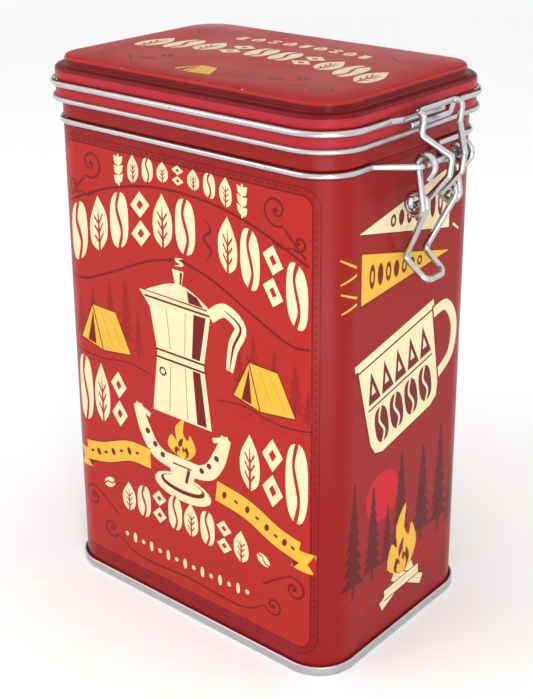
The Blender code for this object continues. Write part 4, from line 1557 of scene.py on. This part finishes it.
def build_lights(studio):
    """The white room and three soft lights."""
    world = bpy.data.worlds.new("white_room")
    world.use_nodes = True
    ground = world.node_tree.nodes["Background"]
    ground.inputs["Color"].default_value = (1.0, 1.0, 1.0, 1.0)
    ground.inputs["Strength"].default_value = studio.sky
    bpy.context.scene.world = world
    area_light("key", KEY_PLACE, TIN_MIDDLE, KEY_SIZE, studio.key_power)
    area_light("fill", FILL_PLACE, TIN_MIDDLE, FILL_SIZE, studio.fill_power)
    area_light("low", LOW_PLACE, LOW_AIM, LOW_SIZE, studio.low_power)


def build_camera(studio):
    """The camera, near the clasp's front corner and a little above the lid."""
    scene = bpy.context.scene
    lens = bpy.data.cameras.new("camera")
    lens.sensor_fit = "VERTICAL"
    lens.sensor_height = SENSOR_HEIGHT
    lens.lens = studio.lens
    lens.shift_y = CAMERA_SHIFT
    lens.clip_start = 0.01
    camera = bpy.data.objects.new("camera", lens)
    camera.location = (CAMERA_PLACE + CENTRE) * MM
    camera.rotation_euler = (math.pi / 2 + studio.pitch, CAMERA_ROLL, studio.yaw)
    scene.collection.objects.link(camera)
    scene.camera = camera
    scene.view_settings.view_transform = "Standard"


# --- operators and panel --------------------------------------------------------------------

class TIN_OT_body_wall(bpy.types.Operator):
    """Makes the printed body sheet"""
    bl_idname = "tin.body_wall"
    bl_label = "Body sheet"

    def execute(self, context):
        build_body_wall()
        return {"FINISHED"}


class TIN_OT_base(bpy.types.Operator):
    """Makes the base and its double seam"""
    bl_idname = "tin.base"
    bl_label = "Base"

    def execute(self, context):
        build_base()
        return {"FINISHED"}


class TIN_OT_lid(bpy.types.Operator):
    """Makes the printed lid"""
    bl_idname = "tin.lid"
    bl_label = "Lid"

    def execute(self, context):
        build_lid()
        return {"FINISHED"}


class TIN_OT_seal(bpy.types.Operator):
    """Makes the gasket inside the lid"""
    bl_idname = "tin.seal"
    bl_label = "Gasket"

    def execute(self, context):
        build_seal()
        return {"FINISHED"}


class TIN_OT_hoops(bpy.types.Operator):
    """Makes the wire hoops of the body and the lid"""
    bl_idname = "tin.hoops"
    bl_label = "Hoops"

    def execute(self, context):
        build_wire("body_wire_hoop", body_hoop_route(), "tin", "body_hoop")
        build_wire("lid_wire_hoop", lid_hoop_route(), "lid", "lid_hoop")
        return {"FINISHED"}


class TIN_OT_clasp(bpy.types.Operator):
    """Makes the clasp's lever and link"""
    bl_idname = "tin.clasp"
    bl_label = "Clasp"

    def execute(self, context):
        build_wire("clasp_lever", lever_route(), "lever", "latch_lever")
        build_wire("clasp_link", link_route(), "link", "latch_link")
        return {"FINISHED"}


class TIN_OT_studio(bpy.types.Operator):
    """Makes the floor, the dark card, the lights and the camera"""
    bl_idname = "tin.studio"
    bl_label = "Studio"

    def execute(self, context):
        studio = context.scene.tin_studio
        build_floor(studio)
        build_card(studio)
        build_lights(studio)
        build_camera(studio)
        return {"FINISHED"}


OPERATORS = (TIN_OT_body_wall, TIN_OT_base, TIN_OT_lid, TIN_OT_seal, TIN_OT_hoops, TIN_OT_clasp,
             TIN_OT_studio)


class TIN_PT_builder(bpy.types.Panel):
    """The tin's settings and the buttons that make its pieces"""
    bl_idname = "TIN_PT_builder"
    bl_label = "Storage tin"
    bl_space_type = "VIEW_3D"
    bl_region_type = "UI"
    bl_category = "Storage tin"

    def draw(self, context):
        for settings in (context.scene.tin_colours, context.scene.tin_finish, context.scene.tin_studio):
            box = self.layout.box()
            for name in settings.__annotations__:
                box.prop(settings, name)
        for operator in OPERATORS:
            self.layout.operator(operator.bl_idname)


SETTINGS = {"tin_colours": TinColours, "tin_finish": TinFinish, "tin_studio": TinStudio}
CLASSES = (*SETTINGS.values(), *OPERATORS, TIN_PT_builder)


def register():
    """Registers the settings, the operators and the panel."""
    for item in CLASSES:
        bpy.utils.register_class(item)
    for name, item in SETTINGS.items():
        setattr(bpy.types.Scene, name, PointerProperty(type=item))


def unregister():
    """Takes them away again."""
    for name in SETTINGS:
        delattr(bpy.types.Scene, name)
    for item in reversed(CLASSES):
        bpy.utils.unregister_class(item)


def main():
    """Makes every piece in order."""
    register()
    for operator in OPERATORS:
        module, name = operator.bl_idname.split(".")
        getattr(getattr(bpy.ops, module), name)()
    bpy.context.view_layer.update()


if __name__ == "__main__":
    main()
